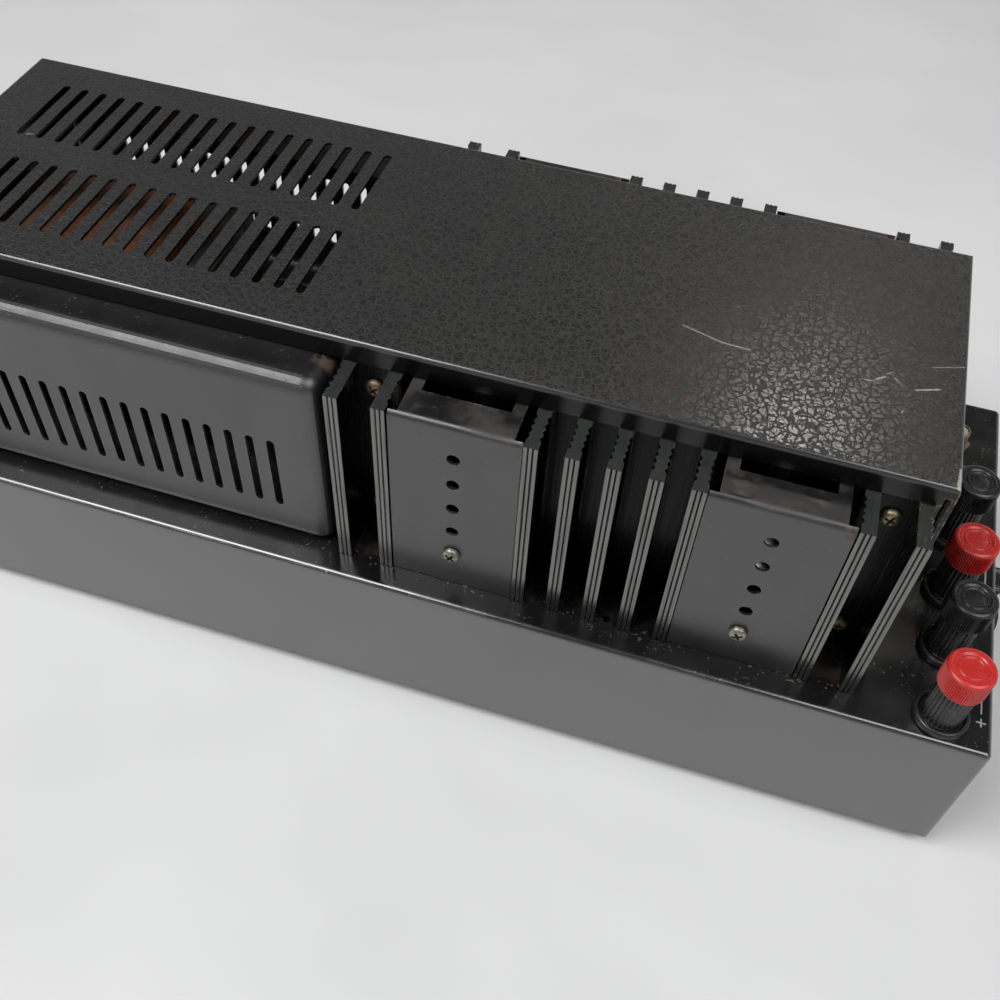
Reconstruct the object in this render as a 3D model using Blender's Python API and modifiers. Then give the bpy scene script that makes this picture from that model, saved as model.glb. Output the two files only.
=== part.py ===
"""A narrow stereo power amplifier: chassis, centre tower, finned flanks and screw terminals.

+X is the rear end with the terminals, +Z is up, and the origin lies under the middle of the box.
The near side is -Y and the far side is its mirror image.
"""

import math

import bmesh
import bpy
from mathutils import Matrix, Vector

MM = 0.001

# Clearances
SEAT_GAP = 0.3 * MM  # between pieces that rest on or against each other
RUN_GAP = 0.5 * MM  # around pieces that turn or slide in a bore
WELD = 0.00001
CUT_SPARE = 2 * MM  # how far a cutter reaches past the sheet it cuts

# Facets round a turned piece
ROUND_STEPS = 16
SMALL_STEPS = 10

# Chassis pan, base plate and feet
CHASSIS_LENGTH = 455 * MM
DECK_WIDTH = 183 * MM
CHASSIS_HEIGHT = 69 * MM
CHASSIS_SHEET = 1.5 * MM
CHASSIS_BEND = 2.4 * MM
BASE_SHEET = 1.2 * MM
BASE_VENT_LENGTH = 50 * MM
BASE_VENT_WIDTH = 4 * MM
BASE_VENT_PITCH = 24 * MM
BASE_VENT_MARGIN = 62 * MM
FOOT_HEIGHT = 7 * MM
FOOT_RADIUS = 10 * MM
FOOT_BAND = 2.7 * MM  # straight part above the taper
FOOT_TAPER = 1.6 * MM
FOOT_END_INSET = 30 * MM
FOOT_SIDE_INSET = 22 * MM
DECK_HOLE_RADIUS = 1.6 * MM

# Tower and its cover
TOWER_HEIGHT = 97 * MM
TOWER_SIDE_INSET = 29.3 * MM
TOWER_REAR_INSET = 46 * MM
TOWER_FRONT_INSET = 11.6 * MM
LID_SHEET = 1.2 * MM
LID_BEND = 1.6 * MM
LID_SKIRT = 9 * MM
LID_RETURN = 1.5 * MM  # width of the end walls' edges, seen from the side
LID_RELIEF = 4 * MM
SKIRT_GAP = 0.5 * MM
SLOT_PITCH = 8.46 * MM
SLOT_WIDTH = 3.2 * MM
LID_SLOT_LENGTH = 38 * MM
LID_ROW_SPACING = 52.2 * MM
LID_SLOT_MARGIN = 23.4 * MM
FRAME_SHEET = 1.2 * MM
FRAME_FLANGE = 9 * MM
FRAME_RAIL = 9 * MM  # material left round the side frame's window

# Heat sinks
FIN_PITCH = 14 * MM
FIN_PAIR_STEP = 17.1 * MM
BAY_STEP = 53.4 * MM
CLOSE_FINS = 5
FIN_THICKNESS = 5 * MM
FIN_REACH = 19.8 * MM
SINK_PLATE = 5 * MM
SINK_REAR_INSET = 53.5 * MM
TOOTH_PITCH = 3.1 * MM
TOOTH_DEPTH = 0.9 * MM
FIN_HEAD = 2.6 * MM  # plain length at a fin's tip and at its root
GROOVE_WIDTH = 0.7 * MM
GROOVE_DEPTH = 0.6 * MM

# Transistors, their covers and screws
COVER_SHEET = 1.2 * MM
COVER_BEND = 2.6 * MM
COVER_SIDE_GAP = 0.45 * MM
COVER_INSET = 0.8 * MM  # how far the cover's face lies behind the fin tips
COVER_DROP = 0.4 * MM
COVER_SHOULDER = 3.2 * MM  # how much narrower the top flange is, on each side
COVER_SHOULDER_INSET = 1.6 * MM  # from the cover's face
COVER_EAR_WIDTH = 4.5 * MM
COVER_NOTCH = 5.5 * MM
COVER_SCREW_HEIGHT = 18.3 * MM
COVER_HOLES = 4
COVER_TOP_MARGIN = 16 * MM  # above the highest hole's middle
COVER_HOLE_RADIUS = 2.5 * MM
SCREW_RADIUS = 2 * MM
SCREW_HEAD_RADIUS = 3.5 * MM
SCREW_HEAD_HEIGHT = 2.4 * MM
SCREW_EDGE = 1 * MM  # height of the head's straight rim
SCREW_CROWN_RADIUS = 2.1 * MM
SCREW_CROWN_DROP = 0.3 * MM
SCREW_GRIP = 3.4 * MM  # length of screw in the heat sink's plate
DEVICE_DROP = 0.7 * MM  # below the middle of the room between the screw and the cover's top
DEVICE_EAR_SPACING = 30.1 * MM
DEVICE_EAR_RADIUS = 4.7 * MM
DEVICE_FLANGE_RADIUS = 13.2 * MM
DEVICE_FLANGE = 1.6 * MM
DEVICE_CAN_RADIUS = 10.9 * MM
DEVICE_CAN = 6.4 * MM

# Vented side covers
VENT_SHEET = 1.2 * MM
VENT_ROUND = 6.5 * MM
VENT_SIDE_INSET = 12.6 * MM
VENT_FRONT_INSET = 4 * MM
VENT_SINK_GAP = 3.7 * MM
VENT_SLOT_LENGTH = 36 * MM
VENT_SLOT_HEIGHT = 36.5 * MM
VENT_SLOT_MARGIN = 20.4 * MM

# Screw terminals and input jacks on the rear ledge
POST_REAR_INSET = 19.3 * MM
POST_SIDE_INSET = 12 * MM
POST_PAIR_SPACING = 30.5 * MM
POST_PAIR_STEP = 58.5 * MM
CUP_WALL = 2 * MM
CUP_HEIGHT = 3.3 * MM
CUP_FLOOR = 1.3 * MM
CUP_LIP = 0.7 * MM
CUP_OUTER_CHAMFER = 1 * MM
CUP_INNER_CHAMFER = 0.5 * MM
STUD_RADIUS = 2.5 * MM
STUD_HEIGHT = 20 * MM
SHANK_RADIUS = 4 * MM
SHANK_LENGTH = 14 * MM
WASHER_THICKNESS = 0.9 * MM
BARREL_RADIUS = 7.3 * MM
BARREL_HEIGHT = 19 * MM
BARREL_FLUTES = 20
FLUTE_DEPTH = 0.5 * MM
CAP_OVERHANG = 1.5 * MM  # past the barrel
CAP_HEIGHT = 11.6 * MM
CAP_CHAMFER = 1 * MM
CAP_RIDGES = 26
RIDGE_DEPTH = 0.4 * MM
CAP_DISH_RADIUS = 5.2 * MM
CAP_DISH_DEPTH = 0.9 * MM
CAP_DISH_SLOPE = 0.7 * MM
JACK_REAR_INSET = 20 * MM
JACK_SIDE_INSET = 30 * MM
JACK_SPACING = 25 * MM
JACK_SHELL_RADIUS = 4.15 * MM
JACK_HEIGHT = 10 * MM
JACK_NUT_RADIUS = 6.4 * MM
JACK_NUT_HEIGHT = 2.4 * MM
JACK_PIN_RADIUS = 1.6 * MM
JACK_PIN_DEPTH = 9 * MM
JACK_TAIL_RADIUS = 3 * MM
JACK_TAIL_LENGTH = 12 * MM

# Rear end: mains gland and fuse
REAR_HEIGHT = 28 * MM  # below the deck
GLAND_OFFSET = -7.5 * MM
GLAND_RADIUS = 8 * MM
GLAND_NECK_RADIUS = 6.2 * MM
GLAND_BORE_RADIUS = 3.6 * MM
GLAND_REACH = 9 * MM
GLAND_COLLAR = 4.8 * MM
GLAND_NOSE_TAPER = 1.6 * MM
GLAND_TAIL = 5 * MM
FUSE_OFFSET = 14.5 * MM
FUSE_FLANGE_RADIUS = 7.6 * MM
FUSE_FLANGE = 2.2 * MM
FUSE_NECK_RADIUS = 5.8 * MM
FUSE_NECK_LENGTH = 30 * MM
FUSE_BORE_RADIUS = 3.6 * MM
FUSE_STEM_LENGTH = 14 * MM
FUSE_CAP_RADIUS = 6.2 * MM
FUSE_CAP_LENGTH = 9.5 * MM
FUSE_CAP_CHAMFER = 0.8 * MM
FUSE_CAP_RIDGES = 20
FUSE_SLOT_WIDTH = 1.4 * MM
FUSE_SLOT_DEPTH = 1.2 * MM

# Front end: power switch and pilot lamp
SWITCH_OFFSET = -52 * MM
BEZEL_RADIUS = 9.5 * MM
BEZEL_HEIGHT = 2 * MM
BEZEL_CHAMFER = 0.8 * MM
SWITCH_NECK_RADIUS = 7.8 * MM
SWITCH_LENGTH = 30 * MM
BUTTON_RADIUS = 5.8 * MM
BUTTON_REACH = 6 * MM
BUTTON_STEM = 12 * MM
BUTTON_CHAMFER = 1.2 * MM
BUTTON_TRAVEL = 3.5 * MM
LAMP_OFFSET = -28 * MM
LAMP_RADIUS = 3.6 * MM
LAMP_REACH = 4 * MM
LAMP_SIDE = 2.2 * MM  # height of the lens's straight side
LAMP_CROWN_RADIUS = 2.5 * MM
LAMP_CROWN_DROP = 0.55 * MM
LAMP_FLANGE_RADIUS = 5 * MM
LAMP_FLANGE = 1.4 * MM
LAMP_TAIL = 12 * MM

# Transformer, laid flat with its coil standing above and below the core
CORE_LENGTH = 96 * MM
CORE_WIDTH = 80 * MM
CORE_STACK = 44 * MM
CORE_LIMB = 32 * MM
CORE_WINDOW_WIDTH = 16 * MM
CORE_WINDOW_LENGTH = 48 * MM
CORE_CORNER = 1 * MM
CORE_WINDOW_CORNER = 0.5 * MM
COIL_BUILD = 14 * MM
COIL_SLACK = 0.5 * MM
COIL_CORNER = 5 * MM
COIL_LIFT = 1.5 * MM
CORE_FRONT_INSET = 9.4 * MM
BRACKET_SHEET = 2 * MM
BRACKET_WIDTH = 50 * MM
BRACKET_FOOT = 13 * MM

# Filter capacitors, rectifier and driver boards
CAPACITOR_RADIUS = 25 * MM
CAPACITOR_HEADROOM = 15.5 * MM  # below the tower's cover
CAPACITOR_DISH = 1.5 * MM
CAPACITOR_RIM = 1.8 * MM
CAPACITOR_SHOULDER = 1.2 * MM
CAPACITOR_SHOULDER_DROP = 2 * MM
CAPACITOR_SPACING = 56 * MM
CAPACITOR_REAR_INSET = 78 * MM  # from the tower's rear to the nearer capacitor's axis
CLAMP_WALL = 3.5 * MM
CLAMP_HEIGHT = 14 * MM
RECTIFIER_SIZE = 28 * MM
RECTIFIER_HEIGHT = 10 * MM
RECTIFIER_REAR_INSET = 24 * MM
RECTIFIER_CORNER = 2 * MM
TAB_SPACING = 16.8 * MM
TAB_WIDTH = 6 * MM
TAB_SHEET = 0.8 * MM
TAB_HEIGHT = 8 * MM
BOARD_LENGTH = 130 * MM
BOARD_WIDTH = 66 * MM
BOARD_SHEET = 1.6 * MM
BOARD_CORNER = 1 * MM
BOARD_DROP = 16 * MM
BOARD_REAR_INSET = 130 * MM  # from the chassis's rear to the board's near end
BOARD_SIDE_INSET = 10 * MM
PILLAR_RADIUS = 3.5 * MM
PILLAR_INSET = 7 * MM

# Sizes and places that follow from those above
FRONT_REACH = BEZEL_HEIGHT + BUTTON_REACH
REAR_REACH = FUSE_FLANGE + SEAT_GAP + FUSE_CAP_LENGTH
CHASSIS_MIDDLE = (FRONT_REACH - REAR_REACH) / 2
REAR = CHASSIS_MIDDLE + CHASSIS_LENGTH / 2
FRONT = CHASSIS_MIDDLE - CHASSIS_LENGTH / 2
SIDE = DECK_WIDTH / 2
DECK = FOOT_HEIGHT + CHASSIS_HEIGHT
UNDERDECK = DECK - CHASSIS_SHEET
SEAT = DECK + SEAT_GAP  # where what stands on the deck begins

TOWER_REAR = REAR - TOWER_REAR_INSET
TOWER_FRONT = FRONT + TOWER_FRONT_INSET
TOWER_SIDE = SIDE - TOWER_SIDE_INSET
TOWER_TOP = DECK + TOWER_HEIGHT
SKIRT_FOOT = TOWER_TOP - LID_SKIRT
SINK_TOP = SKIRT_FOOT - SKIRT_GAP
SINK_HEIGHT = SINK_TOP - SEAT

SINK_FACE = TOWER_SIDE - LID_SHEET
FIN_TIP = SINK_FACE + FIN_REACH
SINK_BACK = SINK_FACE - SINK_PLATE
FRAME_FACE = SINK_BACK - SEAT_GAP
FRAME_BACK = FRAME_FACE - FRAME_SHEET
VENT_FACE = SIDE - VENT_SIDE_INSET
COVER_FACE = FIN_TIP - COVER_INSET
COVER_TOP = SINK_TOP - COVER_DROP
COVER_SCREW_Z = DECK + COVER_SCREW_HEIGHT
COVER_HOLE_PITCH = (COVER_TOP - COVER_SCREW_Z - COVER_TOP_MARGIN) / COVER_HOLES
DEVICE_Z = (COVER_SCREW_Z + COVER_TOP) / 2 - DEVICE_DROP
CAPACITOR_HEIGHT = TOWER_HEIGHT - LID_SHEET - SEAT_GAP - CAPACITOR_HEADROOM

POST_X = REAR - POST_REAR_INSET
CUP_WELL = BARREL_RADIUS + 2 * RUN_GAP
CUP_RADIUS = CUP_WELL + CUP_WALL
CAP_RADIUS = BARREL_RADIUS + CAP_OVERHANG
JACK_X = REAR - JACK_REAR_INSET
REAR_Z = DECK - REAR_HEIGHT
FRONT_Z = FOOT_HEIGHT + CHASSIS_HEIGHT / 2


def fin_places():
    """Centres of the fins along X, from the front to the rear."""
    steps = [FIN_PAIR_STEP, BAY_STEP] + [FIN_PITCH] * (CLOSE_FINS - 1) + [BAY_STEP, FIN_PAIR_STEP]
    places = [REAR - SINK_REAR_INSET - sum(steps)]
    for step in steps:
        places.append(places[-1] + step)
    return places


FINS = fin_places()
SINK_FRONT = FINS[0] - FIN_THICKNESS / 2
SINK_REAR = FINS[-1] + FIN_THICKNESS / 2
BAYS = {
    "front": (FINS[1] + FINS[2]) / 2,
    "rear": (FINS[-3] + FINS[-2]) / 2,
}
VENT_FRONT = TOWER_FRONT + VENT_FRONT_INSET
VENT_REAR = SINK_FRONT - VENT_SINK_GAP
COVER_WIDTH = BAY_STEP - FIN_THICKNESS - 2 * COVER_SIDE_GAP

LYING = Matrix.Identity(3)
STANDING = Matrix.Rotation(math.pi / 2, 3, "X")  # outline in X and Z, thickness along Y
END_ON = Matrix(((0, 0, 1), (1, 0, 0), (0, 1, 0)))  # outline in Y and Z, thickness along X
REARWARD = Matrix.Rotation(math.pi / 2, 3, "Y")  # a turned piece's axis points to +X
FORWARD = Matrix.Rotation(-math.pi / 2, 3, "Y")  # a turned piece's axis points to -X
OUTWARD = Matrix.Rotation(math.pi / 2, 3, "X")  # a turned piece's axis points to -Y


def clear_scene():
    for obj in list(bpy.data.objects):
        bpy.data.objects.remove(obj, do_unlink=True)


def new_collection(name):
    collection = bpy.data.collections.new(name)
    bpy.context.scene.collection.children.link(collection)
    return collection


clear_scene()
PARTS = new_collection("power_amplifier")
CUTTERS = new_collection("cutters")


def finish(name, colour, roughness, metallic=0.0):
    material = bpy.data.materials.new(name)
    material.use_nodes = True
    shader = material.node_tree.nodes["Principled BSDF"]
    shader.inputs["Base Color"].default_value = (*colour, 1)
    shader.inputs["Roughness"].default_value = roughness
    shader.inputs["Metallic"].default_value = metallic
    return material


GRAIN_PAINT = finish("grained_black_paint", (0.022, 0.022, 0.023), 0.42)
SATIN_PAINT = finish("satin_black_paint", (0.035, 0.035, 0.037), 0.35)
ANODISED = finish("black_anodised_aluminium", (0.02, 0.02, 0.021), 0.45, 0.6)
ZINC = finish("zinc_plate", (0.62, 0.58, 0.46), 0.38, 1.0)
STEEL = finish("plain_steel", (0.45, 0.45, 0.46), 0.4, 1.0)
NICKEL = finish("nickel_plate", (0.7, 0.69, 0.65), 0.25, 1.0)
BLACK_PLASTIC = finish("black_plastic", (0.015, 0.015, 0.016), 0.3)
RED_PLASTIC = finish("red_plastic", (0.55, 0.015, 0.015), 0.28)
RUBBER = finish("black_rubber", (0.02, 0.02, 0.02), 0.8)
LAMINATION = finish("varnished_lamination", (0.05, 0.045, 0.04), 0.5, 0.4)
COIL_TAPE = finish("brown_coil_tape", (0.3, 0.11, 0.04), 0.6)
SLEEVE = finish("blue_sleeve", (0.03, 0.06, 0.16), 0.35)
BOARD = finish("board_laminate", (0.32, 0.2, 0.07), 0.6)
AMBER = finish("amber_lens", (0.7, 0.25, 0.02), 0.2)


def add_part(name, data, material, centre=(0, 0, 0), turn=LYING):
    obj = bpy.data.objects.new(name, data)
    PARTS.objects.link(obj)
    obj.matrix_world = Matrix.Translation(centre) @ turn.to_4x4()
    obj.data.materials.append(material)
    return obj


def add_cutter(name, data, centre=(0, 0, 0), turn=LYING):
    obj = bpy.data.objects.new(name, data)
    CUTTERS.objects.link(obj)
    obj.matrix_world = Matrix.Translation(centre) @ turn.to_4x4()
    obj.hide_render = True
    obj.display_type = "WIRE"
    return obj


def combine(obj, other, operation):
    boolean = obj.modifiers.new(operation.lower() + "_" + other.name, "BOOLEAN")
    boolean.operation = operation
    boolean.solver = "EXACT"
    boolean.object = other


def cut(obj, cutter):
    combine(obj, cutter, "DIFFERENCE")


def evaluated_mesh(obj, weld=WELD):
    """A plain mesh of the object as modelled, with loose caps welded."""
    bpy.context.view_layer.update()
    graph = bpy.context.evaluated_depsgraph_get()
    mesh = bpy.data.meshes.new_from_object(obj.evaluated_get(graph))
    work = bmesh.new()
    work.from_mesh(mesh)
    bmesh.ops.remove_doubles(work, verts=work.verts, dist=weld)
    work.to_mesh(mesh)
    work.free()
    return mesh


def flat_mesh(name, outlines, thickness):
    """A plate from closed outlines: the first is its edge and the others are holes, or more plates.

    The curve is drawn in millimetres, since its filling is too coarse for small steps in metres.
    """
    curve = bpy.data.curves.new(name, "CURVE")
    curve.dimensions = "2D"
    curve.fill_mode = "BOTH"
    curve.extrude = thickness / 2 / MM
    for outline in outlines:
        spline = curve.splines.new("POLY")
        spline.points.add(len(outline) - 1)
        for point, (u, v) in zip(spline.points, outline):
            point.co = (u / MM, v / MM, 0, 1)
        spline.use_cyclic_u = True
    guide = bpy.data.objects.new(name, curve)
    CUTTERS.objects.link(guide)
    mesh = evaluated_mesh(guide, WELD / MM)
    mesh.transform(Matrix.Scale(MM, 4))
    bpy.data.objects.remove(guide)
    return mesh


def prism_mesh(name, outline, thickness):
    """A bar from one closed outline, which may hold long rows of points in line."""
    work = bmesh.new()
    foot = [work.verts.new((u, v, -thickness / 2)) for u, v in outline]
    head = [work.verts.new((u, v, thickness / 2)) for u, v in outline]
    work.faces.new(foot)
    work.faces.new(head)
    for index in range(len(outline)):
        work.faces.new((foot[index - 1], foot[index], head[index], head[index - 1]))
    bmesh.ops.recalc_face_normals(work, faces=work.faces)
    mesh = bpy.data.meshes.new(name)
    work.to_mesh(mesh)
    work.free()
    return mesh


def arc(centre_u, centre_v, radius, start, end, steps):
    """Points on a round stretch, with angles in degrees."""
    points = []
    for step in range(steps + 1):
        angle = math.radians(start + (end - start) * step / steps)
        points.append((centre_u + radius * math.cos(angle), centre_v + radius * math.sin(angle)))
    return points


def round_over(radius, steps):
    """The corner radius of a faceted circle whose flats lie at the given radius."""
    return radius / math.cos(math.pi / steps)


def bore(centre_u, centre_v, radius, steps):
    return arc(centre_u, centre_v, round_over(radius, steps), 0, 360, steps)[:-1]


def rounded_rectangle(length, width, radius, steps=3):
    u, v = length / 2 - radius, width / 2 - radius
    points = []
    for corner_u, corner_v, start in ((u, v, 0), (-u, v, 90), (-u, -v, 180), (u, -v, 270)):
        points += arc(corner_u, corner_v, radius, start, start + 90, steps)
    return points


def upright_slot(centre_u, centre_v, length, width):
    """A slot with round ends that runs along v."""
    radius = width / 2
    reach = length / 2 - radius
    top = arc(centre_u, centre_v + reach, radius, 0, 180, 3)
    foot = arc(centre_u, centre_v - reach, radius, 180, 360, 3)
    return top + foot


def toothed_circle(radius, depth, teeth):
    """A round outline with ridges and flutes."""
    points = []
    for step in range(2 * teeth):
        angle = math.pi * (step + 0.25) / teeth
        reach = radius - depth * (step % 2)
        points.append((reach * math.cos(angle), reach * math.sin(angle)))
    return points


def slot_places(start, room):
    """Centres of a row of slots at the common pitch: from the start, as many as the room takes."""
    count = int(abs(room) / SLOT_PITCH + 0.5) + 1
    step = math.copysign(SLOT_PITCH, room)
    return [start + step * index for index in range(count)]


def box_mesh(name, *boxes):
    """One mesh of boxes, each given by its lowest and highest corners."""
    work = bmesh.new()
    for low, high in boxes:
        size = Vector(high) - Vector(low)
        middle = (Vector(high) + Vector(low)) / 2
        place = Matrix.Translation(middle) @ Matrix.Diagonal((*size, 1))
        bmesh.ops.create_cube(work, size=1, matrix=place)
    mesh = bpy.data.meshes.new(name)
    work.to_mesh(mesh)
    work.free()
    return mesh


def drill_mesh(name, holes, steps=SMALL_STEPS):
    """One mesh of cylinders, each given by its middle, its turn, its radius and its length."""
    work = bmesh.new()
    for middle, turn, radius, length in holes:
        bmesh.ops.create_cone(
            work,
            cap_ends=True,
            segments=steps,
            radius1=round_over(radius, steps),
            radius2=round_over(radius, steps),
            depth=length,
            matrix=Matrix.Translation(middle) @ turn.to_4x4(),
        )
    mesh = bpy.data.meshes.new(name)
    work.to_mesh(mesh)
    work.free()
    return mesh


def sheet_box(name, material, low, high, open_side, sheet, bend, steps, is_bent):
    """A box of folded sheet that is open on one side, with the edges that is_bent picks rounded."""
    low, high = Vector(low), Vector(high)
    work = bmesh.new()
    place = Matrix.Translation((low + high) / 2) @ Matrix.Diagonal((*(high - low), 1))
    bmesh.ops.create_cube(work, size=1, matrix=place)
    work.normal_update()
    missing = max(work.faces, key=lambda face: face.normal.dot(open_side))
    bmesh.ops.delete(work, geom=[missing], context="FACES_ONLY")
    bent = [edge for edge in work.edges if len(edge.link_faces) == 2 and is_bent(edge)]
    bmesh.ops.bevel(
        work,
        geom=bent,
        offset=bend,
        offset_type="OFFSET",
        segments=steps,
        profile=0.5,
        affect="EDGES",
    )
    mesh = bpy.data.meshes.new(name)
    work.to_mesh(mesh)
    work.free()
    obj = add_part(name, mesh, material)
    wall = obj.modifiers.new("wall", "SOLIDIFY")
    wall.thickness = sheet
    wall.offset = -1
    wall.use_even_offset = True
    return obj


def turned(name, material, profile, centre, turn=LYING, steps=ROUND_STEPS, is_ring=False):
    """A turned piece: its profile of radius and height runs down the outer side."""
    mesh = profile_mesh(name, profile, is_ring)
    obj = add_part(name, mesh, material, centre, turn)
    spin(obj, steps)
    return obj


def profile_mesh(name, profile, is_ring):
    mesh = bpy.data.meshes.new(name)
    count = len(profile)
    edges = [(index, index + 1) for index in range(count - 1)]
    if is_ring:
        edges.append((count - 1, 0))
    mesh.from_pydata([(radius, 0, height) for radius, height in profile], edges, [])
    return mesh


def spin(obj, steps):
    screw = obj.modifiers.new("turned", "SCREW")
    screw.axis = "Z"
    screw.angle = 2 * math.pi
    screw.steps = steps
    screw.render_steps = steps
    screw.use_merge_vertices = True
    screw.merge_threshold = WELD
    screw.use_smooth_shade = True


def mirror_twin(obj, name):
    """The far side's copy of a near-side piece."""
    twin = bpy.data.objects.new(name, evaluated_mesh(obj))
    PARTS.objects.link(twin)
    twin.matrix_world = Matrix.Scale(-1, 4, (0, 1, 0)) @ obj.matrix_world
    return twin


def post_places():
    """Middles of the four screw terminals across the rear ledge, from the near side."""
    first = -SIDE + POST_SIDE_INSET
    return [first + pair + post for pair in (0, POST_PAIR_STEP) for post in (0, POST_PAIR_SPACING)]


def jack_places():
    return {"left": SIDE - JACK_SIDE_INSET, "right": SIDE - JACK_SIDE_INSET - JACK_SPACING}


def make_chassis():
    """The folded pan, and its holes for what passes through the deck and the ends."""
    pan = sheet_box(
        "chassis_pan",
        SATIN_PAINT,
        (FRONT, -SIDE, FOOT_HEIGHT),
        (REAR, SIDE, DECK),
        Vector((0, 0, -1)),
        CHASSIS_SHEET,
        CHASSIS_BEND,
        2,
        lambda edge: True,
    )
    through = CHASSIS_SHEET + 2 * CUT_SPARE
    deck_middle = DECK - CHASSIS_SHEET / 2
    holes = []
    for y in post_places():
        holes.append(((POST_X, y, deck_middle), LYING, SHANK_RADIUS + SEAT_GAP, through))
    for y in jack_places().values():
        holes.append(((JACK_X, y, deck_middle), LYING, JACK_TAIL_RADIUS + SEAT_GAP, through))
    for y in (-FIN_TIP + SCREW_HEAD_RADIUS, FIN_TIP - SCREW_HEAD_RADIUS):
        middle_gap = (FINS[4] + FINS[5]) / 2
        holes.append(((middle_gap, y, deck_middle), LYING, DECK_HOLE_RADIUS, through))
    rear_wall = REAR - CHASSIS_SHEET / 2
    holes.append(((rear_wall, GLAND_OFFSET, REAR_Z), REARWARD, GLAND_NECK_RADIUS + SEAT_GAP, through))
    holes.append(((rear_wall, FUSE_OFFSET, REAR_Z), REARWARD, FUSE_NECK_RADIUS + SEAT_GAP, through))
    front_wall = FRONT + CHASSIS_SHEET / 2
    holes.append(((front_wall, SWITCH_OFFSET, FRONT_Z), FORWARD, SWITCH_NECK_RADIUS + SEAT_GAP, through))
    holes.append(((front_wall, LAMP_OFFSET, FRONT_Z), FORWARD, LAMP_RADIUS + SEAT_GAP, through))
    cut(pan, add_cutter("chassis_holes", drill_mesh("chassis_holes", holes)))


def make_base():
    """The vented plate that closes the pan from below, and the feet under it."""
    inset = CHASSIS_SHEET + SEAT_GAP
    length = CHASSIS_LENGTH - 2 * inset
    width = DECK_WIDTH - 2 * inset
    outlines = [rounded_rectangle(length, width, CHASSIS_BEND, 2)]
    vents = int((length - 2 * BASE_VENT_MARGIN) / BASE_VENT_PITCH)
    for index in range(vents + 1):
        u = (index - vents / 2) * BASE_VENT_PITCH
        outlines.append(upright_slot(u, 0, BASE_VENT_LENGTH, BASE_VENT_WIDTH))
    plate = flat_mesh("base_plate", outlines, BASE_SHEET)
    add_part("base_plate", plate, SATIN_PAINT, (CHASSIS_MIDDLE, 0, FOOT_HEIGHT + BASE_SHEET / 2))
    top = FOOT_HEIGHT - SEAT_GAP
    profile = [
        (0, top),
        (FOOT_RADIUS, top),
        (FOOT_RADIUS, top - FOOT_BAND),
        (FOOT_RADIUS - FOOT_TAPER, 0),
        (0, 0),
    ]
    for end, x in (("front", FRONT + FOOT_END_INSET), ("rear", REAR - FOOT_END_INSET)):
        for side, y in (("near", -SIDE + FOOT_SIDE_INSET), ("far", SIDE - FOOT_SIDE_INSET)):
            turned(f"foot_{end}_{side}", RUBBER, profile, (x, y, 0))


def make_top_cover():
    """The tower's cover: slotted top, short skirts over the flanks, end walls down to the deck."""
    lid = sheet_box(
        "top_cover",
        GRAIN_PAINT,
        (TOWER_FRONT, -TOWER_SIDE, SEAT),
        (TOWER_REAR, TOWER_SIDE, TOWER_TOP),
        Vector((0, 0, -1)),
        LID_SHEET,
        LID_BEND,
        2,
        lambda edge: min(vert.co.z for vert in edge.verts) > SKIRT_FOOT,
    )
    flanks = []
    reliefs = []
    for sign in (-1, 1):
        reach = (TOWER_SIDE - LID_SHEET - CUT_SPARE, TOWER_SIDE + CUT_SPARE)
        inner, outer = sorted(sign * y for y in reach)
        low = (TOWER_FRONT + LID_RETURN, inner, SEAT - CUT_SPARE)
        high = (TOWER_REAR - LID_RETURN, outer, SKIRT_FOOT)
        flanks.append((low, high))
        for start, end in (
            (TOWER_FRONT + LID_RETURN, TOWER_FRONT + LID_RETURN + LID_RELIEF / 2),
            (TOWER_REAR - LID_RETURN - LID_RELIEF / 2, TOWER_REAR - LID_RETURN),
        ):
            reliefs.append(((start, inner, SKIRT_FOOT - CUT_SPARE), (end, outer, SKIRT_FOOT + LID_RELIEF)))
    cut(lid, add_cutter("lid_flanks", box_mesh("lid_flanks", *flanks)))
    cut(lid, add_cutter("lid_reliefs", box_mesh("lid_reliefs", *reliefs)))
    outlines = []
    room = VENT_REAR - TOWER_FRONT - 2 * LID_SLOT_MARGIN
    for u in slot_places(TOWER_FRONT + LID_SLOT_MARGIN, room):
        for v in (-LID_ROW_SPACING / 2, LID_ROW_SPACING / 2):
            outlines.append(upright_slot(u, v, LID_SLOT_LENGTH, SLOT_WIDTH))
    slots = flat_mesh("lid_slots", outlines, LID_SHEET + 2 * CUT_SPARE)
    cut(lid, add_cutter("lid_slots", slots, (0, 0, TOWER_TOP - LID_SHEET / 2)))


def make_side_frames():
    """The tower's inner frames: a channel along each flank with a window behind the vented cover."""
    height = TOWER_TOP - LID_SHEET - SEAT_GAP - SEAT
    sheet = FRAME_SHEET
    channel = [
        (0, 0),
        (FRAME_FLANGE, 0),
        (FRAME_FLANGE, sheet),
        (sheet, sheet),
        (sheet, height - sheet),
        (FRAME_FLANGE, height - sheet),
        (FRAME_FLANGE, height),
        (0, height),
    ]
    front = TOWER_FRONT + LID_SHEET + SEAT_GAP
    rear = TOWER_REAR - LID_SHEET - SEAT_GAP
    mesh = flat_mesh("side_frame", [channel], rear - front)
    frame = add_part("side_frame_near", mesh, STEEL, ((front + rear) / 2, -FRAME_FACE, SEAT), END_ON)
    window = box_mesh(
        "frame_window",
        (
            (VENT_FRONT + FRAME_RAIL, -FRAME_FACE - CUT_SPARE, SEAT + FRAME_RAIL),
            (VENT_REAR - FRAME_RAIL, -FRAME_BACK + CUT_SPARE, SINK_TOP - FRAME_RAIL),
        ),
    )
    cut(frame, add_cutter("frame_window", window))
    mirror_twin(frame, "side_frame_far")


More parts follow.
